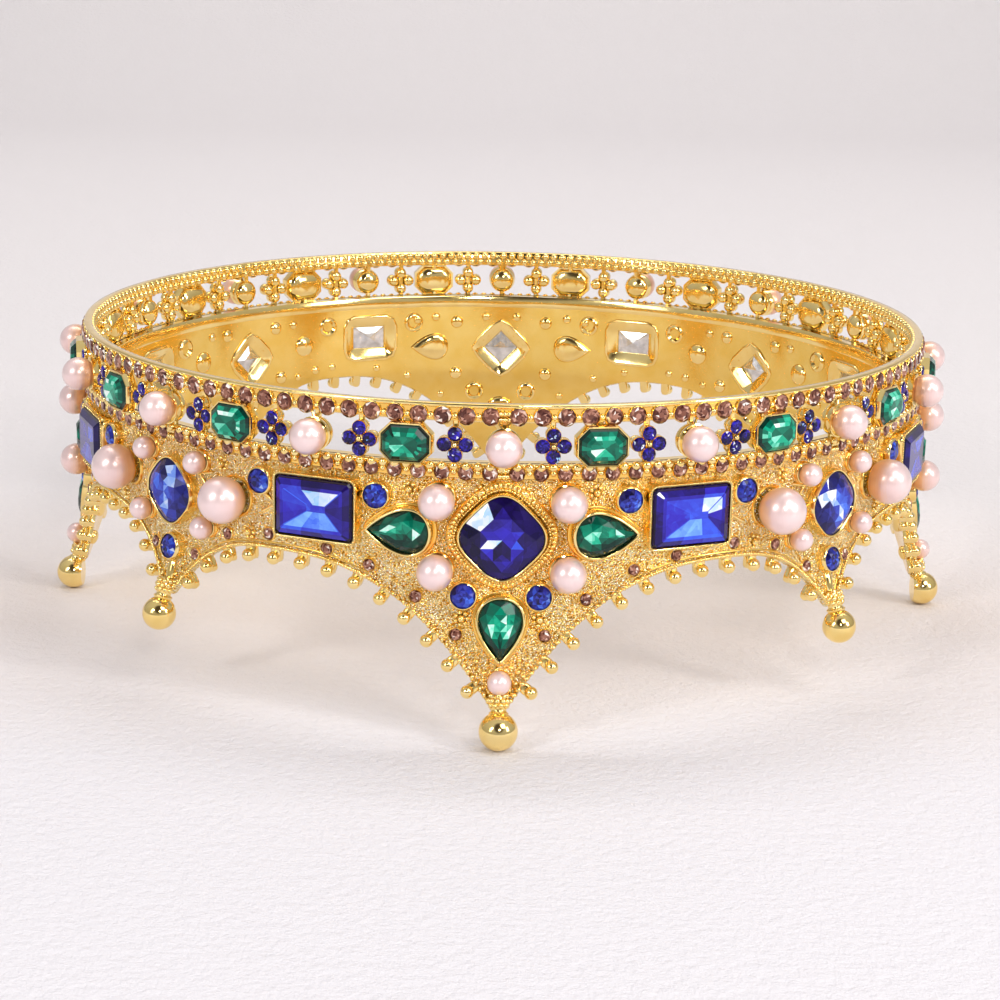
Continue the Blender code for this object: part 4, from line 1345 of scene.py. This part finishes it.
def bezel(outline, section):
    """A closed section of (offset, height) pairs carried round an outline."""
    normal = outward_normals(outline)
    return loft([at_level(outline + offset * normal, level) for offset, level in section],
                closed=True)


def rounded_rectangle(width, height, corner, steps=6):
    """A rectangle with quarter circles at its corners."""
    a, b = 0.5 * width - corner, 0.5 * height - corner
    turn = np.radians(np.linspace(0.0, 90.0, steps))
    arcs = []
    for index, (x, y) in enumerate([(a, b), (-a, b), (-a, -b), (a, -b)]):
        spin = turn + index * np.pi / 2.0
        arcs.append(np.column_stack([x + corner * np.cos(spin), y + corner * np.sin(spin)]))
    return np.concatenate(arcs)


BEZEL_SECTION = [(0.85, -0.5), (0.72, 1.2), (0.66, 1.8), (0.48, 2.1), (0.25, 2.1), (0.10, 1.9),
                 (0.12, 1.0), (0.12, -0.5)]
THIN_SECTION = [(0.66, -0.5), (0.58, 1.2), (0.52, 1.75), (0.38, 2.0), (0.22, 2.0), (0.10, 1.85),
                (0.12, 1.0), (0.12, -0.5)]
TUBE_SECTION = [(2.55, -0.5), (2.45, 1.2), (2.3, 1.75), (2.12, 1.8), (2.05, 1.5), (2.08, -0.5)]


def round_pears(section):
    """A section carried round every pear stone."""
    return [stamp(bezel(pear_outline(*PEAR_SIZE, row[1])(BEZEL_TURNS), section), row[2])
            for row in pear_rows]


large_cushion = cushion_outline(*CUSHION_A)(BEZEL_TURNS)
small_cushion = cushion_outline(*CUSHION_B)(BEZEL_TURNS)
bezels = [
    stamp(bezel(large_cushion, THIN_SECTION), cushion_a_places),
    stamp(bezel(small_cushion, THIN_SECTION), cushion_b_places),
    *round_pears(BEZEL_SECTION),
    stamp(bezel(rounded_rectangle(*BEZEL_RECTANGLE), THIN_SECTION), rectangle_places),
    stamp(lathe(TUBE_SECTION, 28, closed=True), round_places)]
gold_piece("bezels", *bezels)

# %% [markdown]
# Low collars lie on the plate round the pears, and round each large pearl thin wires fold into a
# star of eleven rays, as petals round a flower's heart. A wire could be a curve object with a
# bevel. Here it is a small circle carried along a path of azimuths and heights, so that it bends
# with the plate. Rays that would leave the plate or run under the rim are left out.

# %% Collars and petal wires
COLLAR_SECTION = [(0.6, -0.4), (1.30, -0.4), (1.20, 0.10), (1.02, 0.22), (0.80, 0.24), (0.6, 0.1)]
collars = round_pears(COLLAR_SECTION)
WIRE_RADIUS, WIRE_SIDES, WIRE_LIFT = 0.24, 8, 0.12


def ridge(path, steps=9):
    """A thin wire on the plate along a path of (azimuth, height) pairs, straight between them.

    Each ring is the middle plus the radius times cos t of the side and sin t of the plate's normal.
    """
    path = np.asarray(path, float)
    share = np.linspace(0.0, 1.0, steps)
    knots = np.linspace(0.0, 1.0, len(path))
    seats = frames(np.interp(share, knots, path[:, 0]), np.interp(share, knots, path[:, 1]),
                   lift=WIRE_LIFT)
    middle = seats[:, :3, 3]
    ahead = np.gradient(middle, axis=0)
    ahead /= np.linalg.norm(ahead, axis=1, keepdims=True)
    out = seats[:, :3, 2]
    side = np.cross(ahead, out)
    turn = even_turns(WIRE_SIDES)
    rings = middle[:, None] + WIRE_RADIUS * (np.cos(turn)[None, :, None] * side[:, None]
                                             + np.sin(turn)[None, :, None] * out[:, None])
    return loft(rings[:, ::-1])


STAR_TIPS, STAR_INNER, STAR_OUTER = 11, 6.0, 8.6
STAR_MARGIN, STAR_TOP = 3.4, 43.4
LARGE_SEAT, LARGE_HEIGHT = 10.5, 37.1
star_turn = np.pi * np.arange(2 * STAR_TIPS) / STAR_TIPS
star_reach = np.where(np.arange(2 * STAR_TIPS) % 2, STAR_INNER, STAR_OUTER)
star_x = np.degrees(star_reach * np.cos(star_turn) / PLATE_OUTER)
star_y = star_reach * np.sin(star_turn)
ridges = []
for middle in SHORT_POINTS:
    for hand in (-1.0, 1.0):
        for tip in range(0, 2 * STAR_TIPS, 2):
            corners = [(middle + hand * (LARGE_SEAT + star_x[k]), LARGE_HEIGHT + star_y[k])
                       for k in (tip - 1, tip, (tip + 1) % (2 * STAR_TIPS))]
            if all(edge_height(x) + STAR_MARGIN < y < STAR_TOP for x, y in corners):
                ridges.append(ridge(corners[::int(hand)]))
gold_piece("petal_ridges", *ridges)

# %% [markdown]
# Pearls are drilled half through and glued on a peg in a shallow cup, so they stand almost whole in
# front of the plate. A sphere with enough faces is all a pearl needs, because its depth is in its
# finish. Each face carries how far forward it lies, and through the coat's ramp the back takes a
# painted orange reflection of the gold.

# %% Pearls
LARGE_PEARL, PEARL, SMALL_PEARL = 4.0, 3.0, 2.0
LARGE_RISE, PLATE_RISE, GALLERY_RISE, SMALL_RISE = 3.69, 3.2, 3.9, 2.0
large_seats = mirrored(SHORT_POINTS, LARGE_SEAT, LARGE_HEIGHT)
large_places = frames(*large_seats)
large_nodes = numbered("large_pearl", 1, 2) + numbered("large_pearl", 2, 2)


def forward_tones(shape, places, middle, radius):
    """A tone for each face of the copies: half plus half its height from the middle over the radius."""
    points, faces = shape
    tones = []
    for group in faces:
        centre = points[group].mean(axis=1).reshape(len(places), -1, 3) - places[:, None, :3, 3]
        level = np.einsum("kni,ki->kn", centre, places[:, :3, 2])
        tones.append(np.clip(0.5 + 0.5 * (level - middle) / radius, 0.0, 1.0).ravel())
    return np.concatenate(tones)


def set_pearls(name, nodes, *sets):
    """One piece from sets of pearls: each has a radius, its middle's height, places and counts."""
    shapes = []
    tones = []
    for radius, middle, places, count, levels in sets:
        shapes.append(stamp(ball(radius, count, levels, centre=middle), places))
        tones.append(forward_tones(shapes[-1], places, middle, radius))
    make_piece(name, together(*shapes), pearl_coat, nodes, smooth=60.0,
               tones=np.concatenate(tones))


set_pearls("large_pearls", large_nodes, (LARGE_PEARL, LARGE_RISE, large_places, 40, 24))
pearl_seats = [mirrored(LONG_POINTS, 7.5, 41.0), mirrored(LONG_POINTS, 7.6, 29.1)]
pearl_places = frames(*all_seats(pearl_seats))
gallery_pearl_places = frames(pearl_azimuths, GALLERY_MIDDLE, radius=GALLERY_FACE)
set_pearls("pearls", [], (PEARL, PLATE_RISE, pearl_places, 32, 19),
           (PEARL, GALLERY_RISE, gallery_pearl_places, 32, 19))
small_seats = [mirrored(SHORT_POINTS, 5.0, 41.9), mirrored(SHORT_POINTS, 6.0, 30.7),
               (LONG_POINTS, np.full(4, 10.8))]
small_places = frames(*all_seats(small_seats))
set_pearls("small_pearls", [], (SMALL_PEARL, SMALL_RISE, small_places, 26, 15))

# %% [markdown]
# The cups show as a gold line behind each pearl, and on the plate a low ring shows round the cup's
# foot. Both are turned on a lathe from a few points, because nobody sees more of them than their
# lips.

# %% Pearl cups
CUP_SIDES = 28


def dish(radius, foot, depth):
    """A cup open to the front: outside up to its lip and down the hollow inside."""
    return lathe([(0.55 * radius, foot), (0.85 * radius, foot + 0.25 * depth), (radius, foot + depth),
                  (0.93 * radius, foot + depth + 0.08), (0.7 * radius, foot + 0.62 * depth),
                  (0.2 * radius, foot + 0.4 * depth)], CUP_SIDES)


def seat_ring(radius):
    """A low ring on the plate round a cup's foot: a closed section turned about z."""
    foot = 0.84 * radius
    return lathe([(foot - 0.05, -0.3), (foot + 0.42, -0.3), (foot + 0.38, 0.22),
                  (foot + 0.16, 0.42), (foot - 0.05, 0.32)], CUP_SIDES, closed=True)


seat_rings = [stamp(seat_ring(LARGE_PEARL), large_places), stamp(seat_ring(PEARL), pearl_places),
              stamp(seat_ring(SMALL_PEARL), small_places)]
cups = [stamp(dish(3.15, -0.4, 1.6), large_places), stamp(dish(2.75, -0.4, 1.3), pearl_places),
        stamp(dish(2.95, -0.5, 2.3), gallery_pearl_places), stamp(dish(1.8, -0.4, 1.0), small_places)]
gold_piece("pearl_cups", *cups, smooth=50.0)

# %% [markdown]
# Between the rims every motif is soldered to a thin post behind it, and pearls and octagons also
# hang from a forked wire at their top. Seen from inside, each has a rounded back: a dome behind a
# pearl, a chamfered tray behind an octagon, four small cups round a bead for a clover. They could be
# cast as one mesh. Plain shapes that run into each other look the same, and a stamp sets each kind.

# %% Posts and forks
def bar(width, depth, low, high, back):
    """An upright bar behind a motif: an eight-cornered section from one height to another."""
    a, b = 0.5 * width, 0.5 * depth
    outline = np.array([(a, -b * 0.5), (a, b * 0.5), (a * 0.6, b), (-a * 0.6, b), (-a, b * 0.5),
                        (-a, -b * 0.5), (-a * 0.6, -b), (a * 0.6, -b)])
    rings = [np.column_stack([outline[:, 0], np.full(8, level), outline[:, 1] + back])
             for level in (high, low)]
    return loft(rings)


def slanting_bar(start, end, width):
    """A wire with a rounded square section between two points in a motif's frame."""
    start, end = np.asarray(start, float), np.asarray(end, float)
    along = (end - start) / np.linalg.norm(end - start)
    side = np.cross(along, [0.0, 0.0, 1.0])
    side = side / np.linalg.norm(side)
    out = np.cross(side, along)
    corners = [(1, 0.4), (0.4, 1), (-0.4, 1), (-1, 0.4),
               (-1, -0.4), (-0.4, -1), (0.4, -1), (1, -0.4)]
    ring = np.array([0.5 * width * (a * side + b * out) for a, b in corners])
    return loft([ring + end, ring + start])


POST_WIDTH, POST_DEPTH, FORK_WIDTH = 1.0, 0.9, 0.45
low_end, high_end = LOWER_RIM[1] - GALLERY_MIDDLE - 0.2, UPPER_RIM[0] - GALLERY_MIDDLE + 0.6
post = bar(POST_WIDTH, POST_DEPTH, low_end, high_end, 0.0)
motif_frames = frames(MOTIF_STEP * motifs, GALLERY_MIDDLE, radius=GALLERY_FACE)
fork = together(*(slanting_bar((hand * 1.1, high_end, 0.3),
                               (hand * 0.25, high_end - 1.5, 0.9), FORK_WIDTH)
                  for hand in (-1.0, 1.0)))
print("posts:", len(motif_frames), "of", round(high_end - low_end, 2), "mm")

# %% [markdown]
# The backs of the motifs close them from inside. A petal's cup is a turned section with a ball
# behind it, an octagon's bezel carries a section along its chamfered outline, and its tray is a
# loft of that outline, shrinking as it goes back.

# %% Gallery metal
OCTAGON = (8.0, 6.0, 1.6)
petal_cup = lathe([(1.02, -1.4), (1.26, -1.1), (1.28, -0.15), (1.2, 0.02), (1.1, -0.15),
                   (1.08, -0.6), (0.5, -0.9)], 14, closed=True)
petal_back = ball(1.22, 14, 7, 0.75, -1.75)
pearl_back = ball(2.75, 28, 13, 0.62, 0.35)
octagon_section = [(0.42, 0.3), (0.42, 2.1), (0.25, 2.45), (0.06, 2.4), (0.05, 1.0), (-0.9, 0.35)]
octagon_bezel = bezel(cut_corners(*OCTAGON), octagon_section)
octagon_back = loft([at_level(share * cut_corners(8.2, 6.2, 1.7), level)
                     for share, level in [(0.35, -1.0), (0.7, -0.8), (0.9, -0.3), (1.0, 0.5)]])
clover_centre = moved(ball(0.5, 10, 6), (0.0, 0.0, 0.2))
gallery_metal = [stamp(post, motif_frames), stamp(fork, gallery_pearl_places),
                 stamp(petal_cup, petal_places), stamp(petal_back, petal_places),
                 stamp(octagon_bezel, octagon_places), stamp(octagon_back, octagon_places),
                 stamp(clover_centre, clover_frames), stamp(fork, octagon_places),
                 stamp(pearl_back, gallery_pearl_places)]
gold_piece("gallery_metal", *gallery_metal, smooth=40.0)

# %% [markdown]
# Milgrain is a row of tiny beads rolled into the metal along a setting. A ring of short radial
# grains and a finer row frame each large cushion. As on the edge, the grains must stand at even
# steps, and an outline's angle doesn't give those. So the outline's length is summed and read
# backwards.

# %% Milgrain
OUTLINE_STEPS = 720


def closed_run(outline):
    """An outline closed on its first point, and the length run up to each point."""
    closed = np.concatenate([outline, outline[:1]])
    steps = np.linalg.norm(np.diff(closed, axis=0), axis=1)
    return closed, np.concatenate([[0.0], np.cumsum(steps)])


def grains_round(outline, offset, count):
    """Places at even steps of length along an outline moved outwards: x, y and heading."""
    fine = outline(even_turns(OUTLINE_STEPS))
    fine = fine + offset * outward_normals(fine)
    closed, run = closed_run(fine)
    station = run[-1] * np.arange(count) / count
    x = np.interp(station, run, closed[:, 0])
    y = np.interp(station, run, closed[:, 1])
    normal = outward_normals(fine)
    turn = np.arctan2(normal[:, 1], normal[:, 0])
    index = np.clip(np.searchsorted(run, station), 0, len(fine) - 1)
    return x, y, turn[index]


radial_grain = moved(ball(0.36, 8, 5), scale=(1.6, 0.9, 1.0))
cushion_path = cushion_outline(*CUSHION_A)
milgrain = stamp(radial_grain, local_frames(*grains_round(cushion_path, 1.62, 66), 0.48))
fine_row = stamp(ball(0.24, 8, 5), local_frames(*grains_round(cushion_path, 0.98, 96), 0.70))
print("grains round a large cushion:", len(milgrain[0]) + len(fine_row[0]), "points")

# %% [markdown]
# Little rosettes, a bead in a ring of seven grains, fill the spaces that the stones leave. Towards
# the tips the plate is covered in lumps, in no clear order. Chance would leave holes and pairs. The
# golden ratio spreads the lumps evenly and still without rows. A long leaf marks each short point.

# %% Rosettes, lumps and leaves
ROSETTE_GRAINS = 7
ring_turn = even_turns(ROSETTE_GRAINS)
ring_places = local_frames(np.cos(ring_turn), np.sin(ring_turn), ring_turn, 0.1)
rosette = together(ball(0.62, 12, 7, centre=0.45), stamp(ball(0.42, 8, 5), ring_places))
rosette_seats = [mirrored(LONG_POINTS, 2.55, 42.2), mirrored(LONG_POINTS, 11.1, 42.2),
                 mirrored(LONG_POINTS, 4.6, 20.9), mirrored(LONG_POINTS, 14.2, 41.6),
                 mirrored(SHORT_POINTS, 8.4, 42.2), mirrored(SHORT_POINTS, 12.6, 31.4)]
rosette_places = frames(*all_seats(rosette_seats))
GOLDEN = 0.618


def tip_lumps(middles, low, high, count, edge_from):
    """Places over a point: even heights, and shares of its width by steps of the golden ratio."""
    level = np.linspace(low, high, count)
    off = np.linspace(0.0, 17.0, 200)
    half = np.interp(level, edge_height(edge_from + off), off)
    side = 2.0 * ((GOLDEN * np.arange(count)) % 1.0) - 1.0
    azimuth = middles[:, None] + 0.8 * half * side
    return frames(azimuth.ravel(), np.tile(level, len(middles)), lift=0.12)


lump_places = np.concatenate([tip_lumps(LONG_POINTS, 7.0, 14.5, 34, 0.0),
                              tip_lumps(SHORT_POINTS, 18.3, 23.0, 12, 45.0)])
leaf = moved(ball(1.0, 16, 9), scale=(0.95, 3.0, 0.75))
leaves = stamp(leaf, frames(SHORT_POINTS, 20.9, lift=0.15))
lumps = stamp(moved(ball(0.45, 8, 5), scale=(1.15, 0.9, 1.0)), lump_places)
gold_piece("plate_ornament", stamp(milgrain, cushion_a_places), stamp(fine_row, cushion_a_places),
           lumps, leaves, stamp(rosette, rosette_places))

# %% [markdown]
# Where a setting meets the plate, gold mirrors gold, and the joint glows amber. Light that bounces
# between two metals takes many samples to settle, so low rings in a warmer gold stand for it, as a
# painted reflection and painted shade: the pears' collars, the rings at the pearls' cups and one
# under the cushions' grains.

# %% Amber rings
DARK_SECTION = [(0.8, -0.3), (2.30, -0.3), (2.24, 0.12), (2.0, 0.26), (0.9, 0.26)]
dark_ring = bezel(large_cushion, DARK_SECTION)
gold_piece("amber_rings", *collars, *seat_rings, stamp(dark_ring, cushion_a_places),
           finish=amber_gold)

# %% [markdown]
# The rectangles' bezels carry a row of fine beads as well. An array along a curve would crowd them
# at the corners. The even steps that place the cushions' grains serve here too, once the bezel is an
# outline function of an angle like the others.

# %% Beading of the rectangles
def rectangle_path(t):
    """The rectangle's bezel as an outline function: round corners, even steps along the sides."""
    closed, run = closed_run(rounded_rectangle(*BEZEL_RECTANGLE))
    station = t / (2.0 * np.pi) * run[-1]
    return np.column_stack([np.interp(station, run, closed[:, 0]),
                            np.interp(station, run, closed[:, 1])])


beading = stamp(ball(0.21, 6, 4), local_frames(*grains_round(rectangle_path, 0.42, 112), 1.98))
gold_piece("rectangle_beading", stamp(beading, rectangle_places))

# %% [markdown]
# Inside, the plate is smooth, with windows behind the cushions and rectangles where the silvered
# backs of the stones show. A window is a raised frame whose inner bevel slopes down to the foil, and
# the foil itself is a low pyramid. Booleans would cut such a hole through any grid. A frame with a
# wide foot that covers the ragged opening gives cleaner faces.

# %% Windows and foils
WINDOW_WALL, FOIL_RISE = 1.15, 0.75
WINDOW_CORNER = 0.4


def window(outline, wall=WINDOW_WALL):
    """A frame proud of the back: a section with a wide bevel, carried round the opening."""
    return bezel(outline, [(2.45, -0.15), (2.35, 0.35), (2.05, 0.52), (1.60, 0.42), (-0.20, -0.66),
                           (-0.40, -0.76), (-0.50, -1.0), (-0.50, -wall), (2.4, -wall)])


def foil_point(outline, wall=WINDOW_WALL, rise=FOIL_RISE):
    """The silvered back of a stone: the window's outline, shrinking twice up to one point."""
    count = len(outline)
    points = np.concatenate([at_level(outline * 1.02, -wall),
                             at_level(outline * 0.35, -wall + 0.75 * rise),
                             [[0.0, 0.0, -wall + rise]]])
    ring = np.arange(count)
    tip = np.stack([count + ring, count + (ring + 1) % count, np.full(count, 2 * count)], axis=-1)
    return points, [wrap_faces(2, count), tip]


def diamond(half, corner=0.5):
    """A square on its corner, its corners cut: three points, turned by quarters round the middle."""
    side = np.array([(half - corner, -corner), (half, 0.0), (half - corner, corner)])
    quarter = np.array([[0.0, 1.0], [-1.0, 0.0]])
    return np.concatenate([side, side @ quarter, -side, -side @ quarter])


small_oblong = rounded_rectangle(2.0 * OBLONG[0], 2.0 * OBLONG[1], WINDOW_CORNER, 3)
openings = [(diamond(DIAMOND_A), diamond_a), (diamond(DIAMOND_B), diamond_b), (small_oblong, oblong)]
foils = together(*(stamp(foil_point(outline), places) for outline, places in openings))
gold_piece("window_frames", *(stamp(window(outline), places) for outline, places in openings),
           smooth=50.0)
make_piece("stone_backs", foils, foil)

# %% [markdown]
# Every other setting leaves its mark on the inside: a raised ring behind a round stone, a dome
# behind a pearl, a rounded drop behind a pear, and beads in rows behind the rims' stones. The same
# lists of seats serve again, seen from behind, so each mark lies exactly under its stone.

# %% Relief on the inside
def behind(*seats):
    """Frames on the plate's back, facing the axis, behind one or more lists of seats."""
    return frames(*all_seats(seats), inside=True)


raised_ring = lathe([(2.25, -0.1), (2.05, 0.45), (1.60, 0.58), (1.15, 0.1), (1.0, -0.1)], 24,
                    closed=True)
PEAR_BACK, PEAR_BACK_STEPS = (8.8, 6.2), 36


def pear_dome(heading):
    """The swelling behind a pear: its outline shrinking as it rises."""
    outline = pear_outline(*PEAR_BACK, heading)(even_turns(PEAR_BACK_STEPS))
    levels = [(1.0, -0.1), (0.98, 0.35), (0.88, 0.72), (0.66, 0.98), (0.36, 1.10)]
    return loft([at_level(share * outline, level) for share, level in levels])


half_steps = 0.5 * CHIP_PITCH * np.arange(2 * CHIPS_PER_EIGHTH)
rim_azimuths = (eighths[:, None] + CHIP_FIRST + half_steps).ravel()
inner_bead = ball(0.80, 12, 7, 0.85)


def facing_in(azimuth, height, lift=0.0):
    """Frames on the rims' inner side."""
    places = frames(azimuth, height, radius=RIM_INNER, lift=lift)
    places[:, :3, :3] = places[:, :3, :3] * np.array([-1.0, 1.0, -1.0])
    return places


upper_beads = facing_in(rim_azimuths, UPPER_RIM[1] - 0.85)
second_beads = facing_in(rim_azimuths + 0.25 * CHIP_PITCH, UPPER_RIM[1] - 2.20)
lower_beads = facing_in(rim_azimuths, LOWER_RIM[1] - 0.45, 1.45)
inner_metal = [stamp(raised_ring, behind(*round_seats)),
               stamp(ball(1.45, 18, 9, 0.55), behind(*pearl_seats, *small_seats)),
               stamp(ball(2.3, 24, 11, 0.40), behind(large_seats)),
               stamp(pear_dome(0.0), frames(LONG_POINTS - PEAR_OFFSET, PEAR_HEIGHT, inside=True)),
               stamp(pear_dome(180.0), frames(LONG_POINTS + PEAR_OFFSET, PEAR_HEIGHT, inside=True)),
               stamp(pear_dome(-90.0), frames(LONG_POINTS, PEAR_LOW_HEIGHT, inside=True)),
               stamp(inner_bead, np.concatenate([upper_beads, second_beads])),
               stamp(inner_bead, lower_beads), stamp(ball(0.85, 12, 7, 0.6), behind(*chip_seats)),
               stamp(ball(1.0, 12, 7, 0.6), behind(*rosette_seats))]
gold_piece("inner_relief", *inner_metal)

# %% [markdown]
# The crown stands on a pale surface that sweeps up behind it, so that there is no line between floor
# and wall. A plane and a bent wall would show their seam. One profile, a line, an arc and a line, is
# enough, with a faint weave in its bump, a cool tint in front, a painted warm shade under the crown
# and a cooler tint again towards the back.

# %% Floor
SWEEP_WIDTH, SWEEP_NEAR, SWEEP_FAR, SWEEP_RADIUS, SWEEP_TOP = 4400.0, 1500.0, 900.0, 500.0, 1800.0
WEAVE_SCALE, WEAVE_DEPTH, WEAVE_STRENGTH = 450.0, 0.0010, 0.55
floor_finish = Finish("pale_floor", Roughness=0.75)
depth = floor_finish.node("ShaderNodeSeparateXYZ", {}, {"Vector": floor_finish.place()}, output="Y")
backwards = 4.0 * depth + 0.6 + 0.15 * floor_finish.noise(25.0, 4.0)
# Base colour: cool in front, a painted warm shade under the crown, cooler again behind.
floor_finish.paint(Base_Color=floor_finish.ramp(backwards, [
    (0.30, (0.735, 0.715, 0.745)), (0.60, (0.750, 0.690, 0.672)),
    (1.0, (0.750, 0.715, 0.715))]))
floor_finish.bump(floor_finish.noise(WEAVE_SCALE, 3.0, 0.75), WEAVE_DEPTH, WEAVE_STRENGTH)


def sweep_shape():
    """Flat to the far line, then an arc y = F + R sin t, z = R - R cos t, then straight up."""
    flat = np.array([(-SWEEP_NEAR, 0.0), (0.0, 0.0), (SWEEP_FAR, 0.0)])
    turn = np.radians(np.linspace(5.0, 90.0, 18))
    arc = np.column_stack([SWEEP_FAR + SWEEP_RADIUS * np.sin(turn),
                           SWEEP_RADIUS - SWEEP_RADIUS * np.cos(turn)])
    profile = np.concatenate([flat, arc, [(SWEEP_FAR + SWEEP_RADIUS, SWEEP_TOP)]])
    left = np.column_stack([np.full(len(profile), -0.5 * SWEEP_WIDTH), profile])
    right = np.column_stack([np.full(len(profile), 0.5 * SWEEP_WIDTH), profile])
    step = np.arange(len(profile) - 1)
    other = step + len(profile)
    return np.concatenate([left, right]), [np.stack([step, other, other + 1, step + 1], axis=-1)]


floor = put_in_mesh("floor_sweep", sweep_shape(), floor_finish, smooth=60.0)
print("floor faces:", len(floor.data.polygons))

# %% [markdown]
# Gold shows what is round it, so the room's light is also what the crown mirrors. A photograph of a
# room would bring its own pictures into the gold. A ramp from the horizon up gives the same pale
# sheen, and one dark patch in front, above the viewer, gives the gold its deep lines.

# %% Light of the room
ROOM_STRENGTH = 0.49
bpy.context.scene.view_settings.view_transform = 'Standard'
world = bpy.data.worlds.new("studio")
bpy.context.scene.world = world
world.use_nodes = True


class Room(Finish):
    """The world's own nodes, made with the same methods as a finish."""

    def __init__(self, world):
        """Takes the world's tree and its Background shader."""
        self.tree = world.node_tree
        self.shader = self.tree.nodes["Background"]


room = Room(world)
heading = room.node("ShaderNodeTexCoord", output="Generated")
upwards = room.node("ShaderNodeSeparateXYZ", {}, {"Vector": heading}, output="Z")
height_light = room.ramp(0.5 + 0.5 * upwards, [
    (0.48, (0.80, 0.78, 0.78)), (0.62, (0.95, 0.95, 0.97)), (0.95, (1.25, 1.25, 1.30))])
facing = room.node("ShaderNodeVectorMath", {"operation": 'DOT_PRODUCT'},
                   {0: heading, 1: (0.05, -0.76, 0.65)}, output="Value")
front_shade = room.ramp(facing, [(0.83, (1.0, 1.0, 1.0)), (0.93, (0.12, 0.10, 0.09))])
light = room.node("ShaderNodeMix", {"data_type": 'RGBA', "blend_type": 'MULTIPLY'},
                  {"Factor": 1.0, 6: height_light, 7: front_shade}, output=2)
room.feed(room.shader, "Color", light)
room.feed(room.shader, "Strength", ROOM_STRENGTH)
print("nodes of the room:", len(room.tree.nodes))

# %% [markdown]
# Lamps do the rest. Two stand for the daylight from the sides, a key lamp throws the soft shadow,
# one hangs above the crown, one lights the backdrop, and three small ones are there for the sparks
# on beads and facets. Their sizes and powers were found by looking: a larger lamp gives a softer,
# wider highlight.

# %% Lamps
WARM, MILD, SOFT, COOL = (1.0, 0.98, 0.95), (1.0, 0.98, 0.96), (1.0, 0.98, 0.98), (0.98, 0.98, 1.0)


def soft_lamp(name, where, size, power, colour, target=(0.0, 0.0, 0.03)):
    """A rectangular lamp that looks at the crown, or at another target."""
    lamp = bpy.data.lights.new(name, 'AREA')
    lamp.shape = 'RECTANGLE'
    lamp.size, lamp.size_y = size
    lamp.energy = power
    lamp.color = colour
    item = bpy.data.objects.new(name, lamp)
    bpy.context.scene.collection.objects.link(item)
    item.location = where
    aim = Vector(target) - Vector(where)
    item.rotation_euler = aim.to_track_quat('-Z', 'Y').to_euler()


soft_lamp("sparkle_front", (0.12, -0.8, 0.42), (0.08, 0.08), 1.2, WARM)
soft_lamp("backdrop", (0.0, 0.45, 1.1), (1.4, 0.4), 6.6, SOFT, (0.0, 1.3, 0.3))
soft_lamp("sparkle_left", (-0.5, -0.6, 0.45), (0.10, 0.12), 1.5, WARM)
soft_lamp("sparkle_right", (0.65, -0.45, 0.40), (0.10, 0.12), 1.6, WARM)
soft_lamp("daylight_right", (1.0, -0.62, 0.45), (0.30, 0.40), 1.8, MILD)
soft_lamp("daylight_left", (-0.85, -0.80, 0.45), (0.30, 0.40), 1.0, COOL)
soft_lamp("key", (0.55, -0.75, 0.95), (0.5, 0.5), 4.3, MILD)
soft_lamp("top", (0.0, 0.25, 1.1), (0.8, 0.5), 2.0, MILD)
print("lamps:", [lamp.name for lamp in bpy.data.lights])

# %% [markdown]
# The camera looks slightly down on the crown, almost from straight ahead, with a long lens that
# keeps the ring from bulging. It could be turned by hand until the picture fits. Here its azimuth,
# elevation, roll and distance are numbers that were fitted to the ring's repeats, and three unit
# vectors make its matrix: across the picture, up it and back towards the viewer.

# %% Camera
CAMERA_AZIMUTH, CAMERA_ELEVATION, CAMERA_ROLL = -0.38, 13.78, 1.23
CAMERA_DISTANCE, AIM_HEIGHT = 0.4474, 0.030
SENSOR_WIDTH, FOCAL_RATIO = 36.0, 2.269
camera = bpy.data.cameras.new("camera")
camera.sensor_width = SENSOR_WIDTH
camera.lens = SENSOR_WIDTH * FOCAL_RATIO
camera.shift_x, camera.shift_y = -0.0008, -0.0505
camera.clip_start, camera.clip_end = 0.01, 20.0
viewer = bpy.data.objects.new("camera", camera)
bpy.context.scene.collection.objects.link(viewer)
swing, rise, roll = (math.radians(value) for value in
                     (CAMERA_AZIMUTH, CAMERA_ELEVATION, CAMERA_ROLL))
back = Vector((math.sin(swing) * math.cos(rise), -math.cos(swing) * math.cos(rise), math.sin(rise)))
right = Vector((math.cos(swing), math.sin(swing), 0.0))
level_up = back.cross(right)
across = math.cos(roll) * right + math.sin(roll) * level_up
upward = back.cross(across)
pose = Matrix((across, upward, back)).transposed().to_4x4()
pose.translation = Vector((0.0, 0.0, AIM_HEIGHT)) + CAMERA_DISTANCE * back
viewer.matrix_world = pose
bpy.context.scene.camera = viewer
print("camera at", [round(value, 3) for value in pose.translation])

# %% [markdown]
# Last, the triangles of all the pieces are added up. Stones and beads stand proud of the metal.

# %% Count the triangles
print("total triangles:", sum(count for name, count in piece_list))
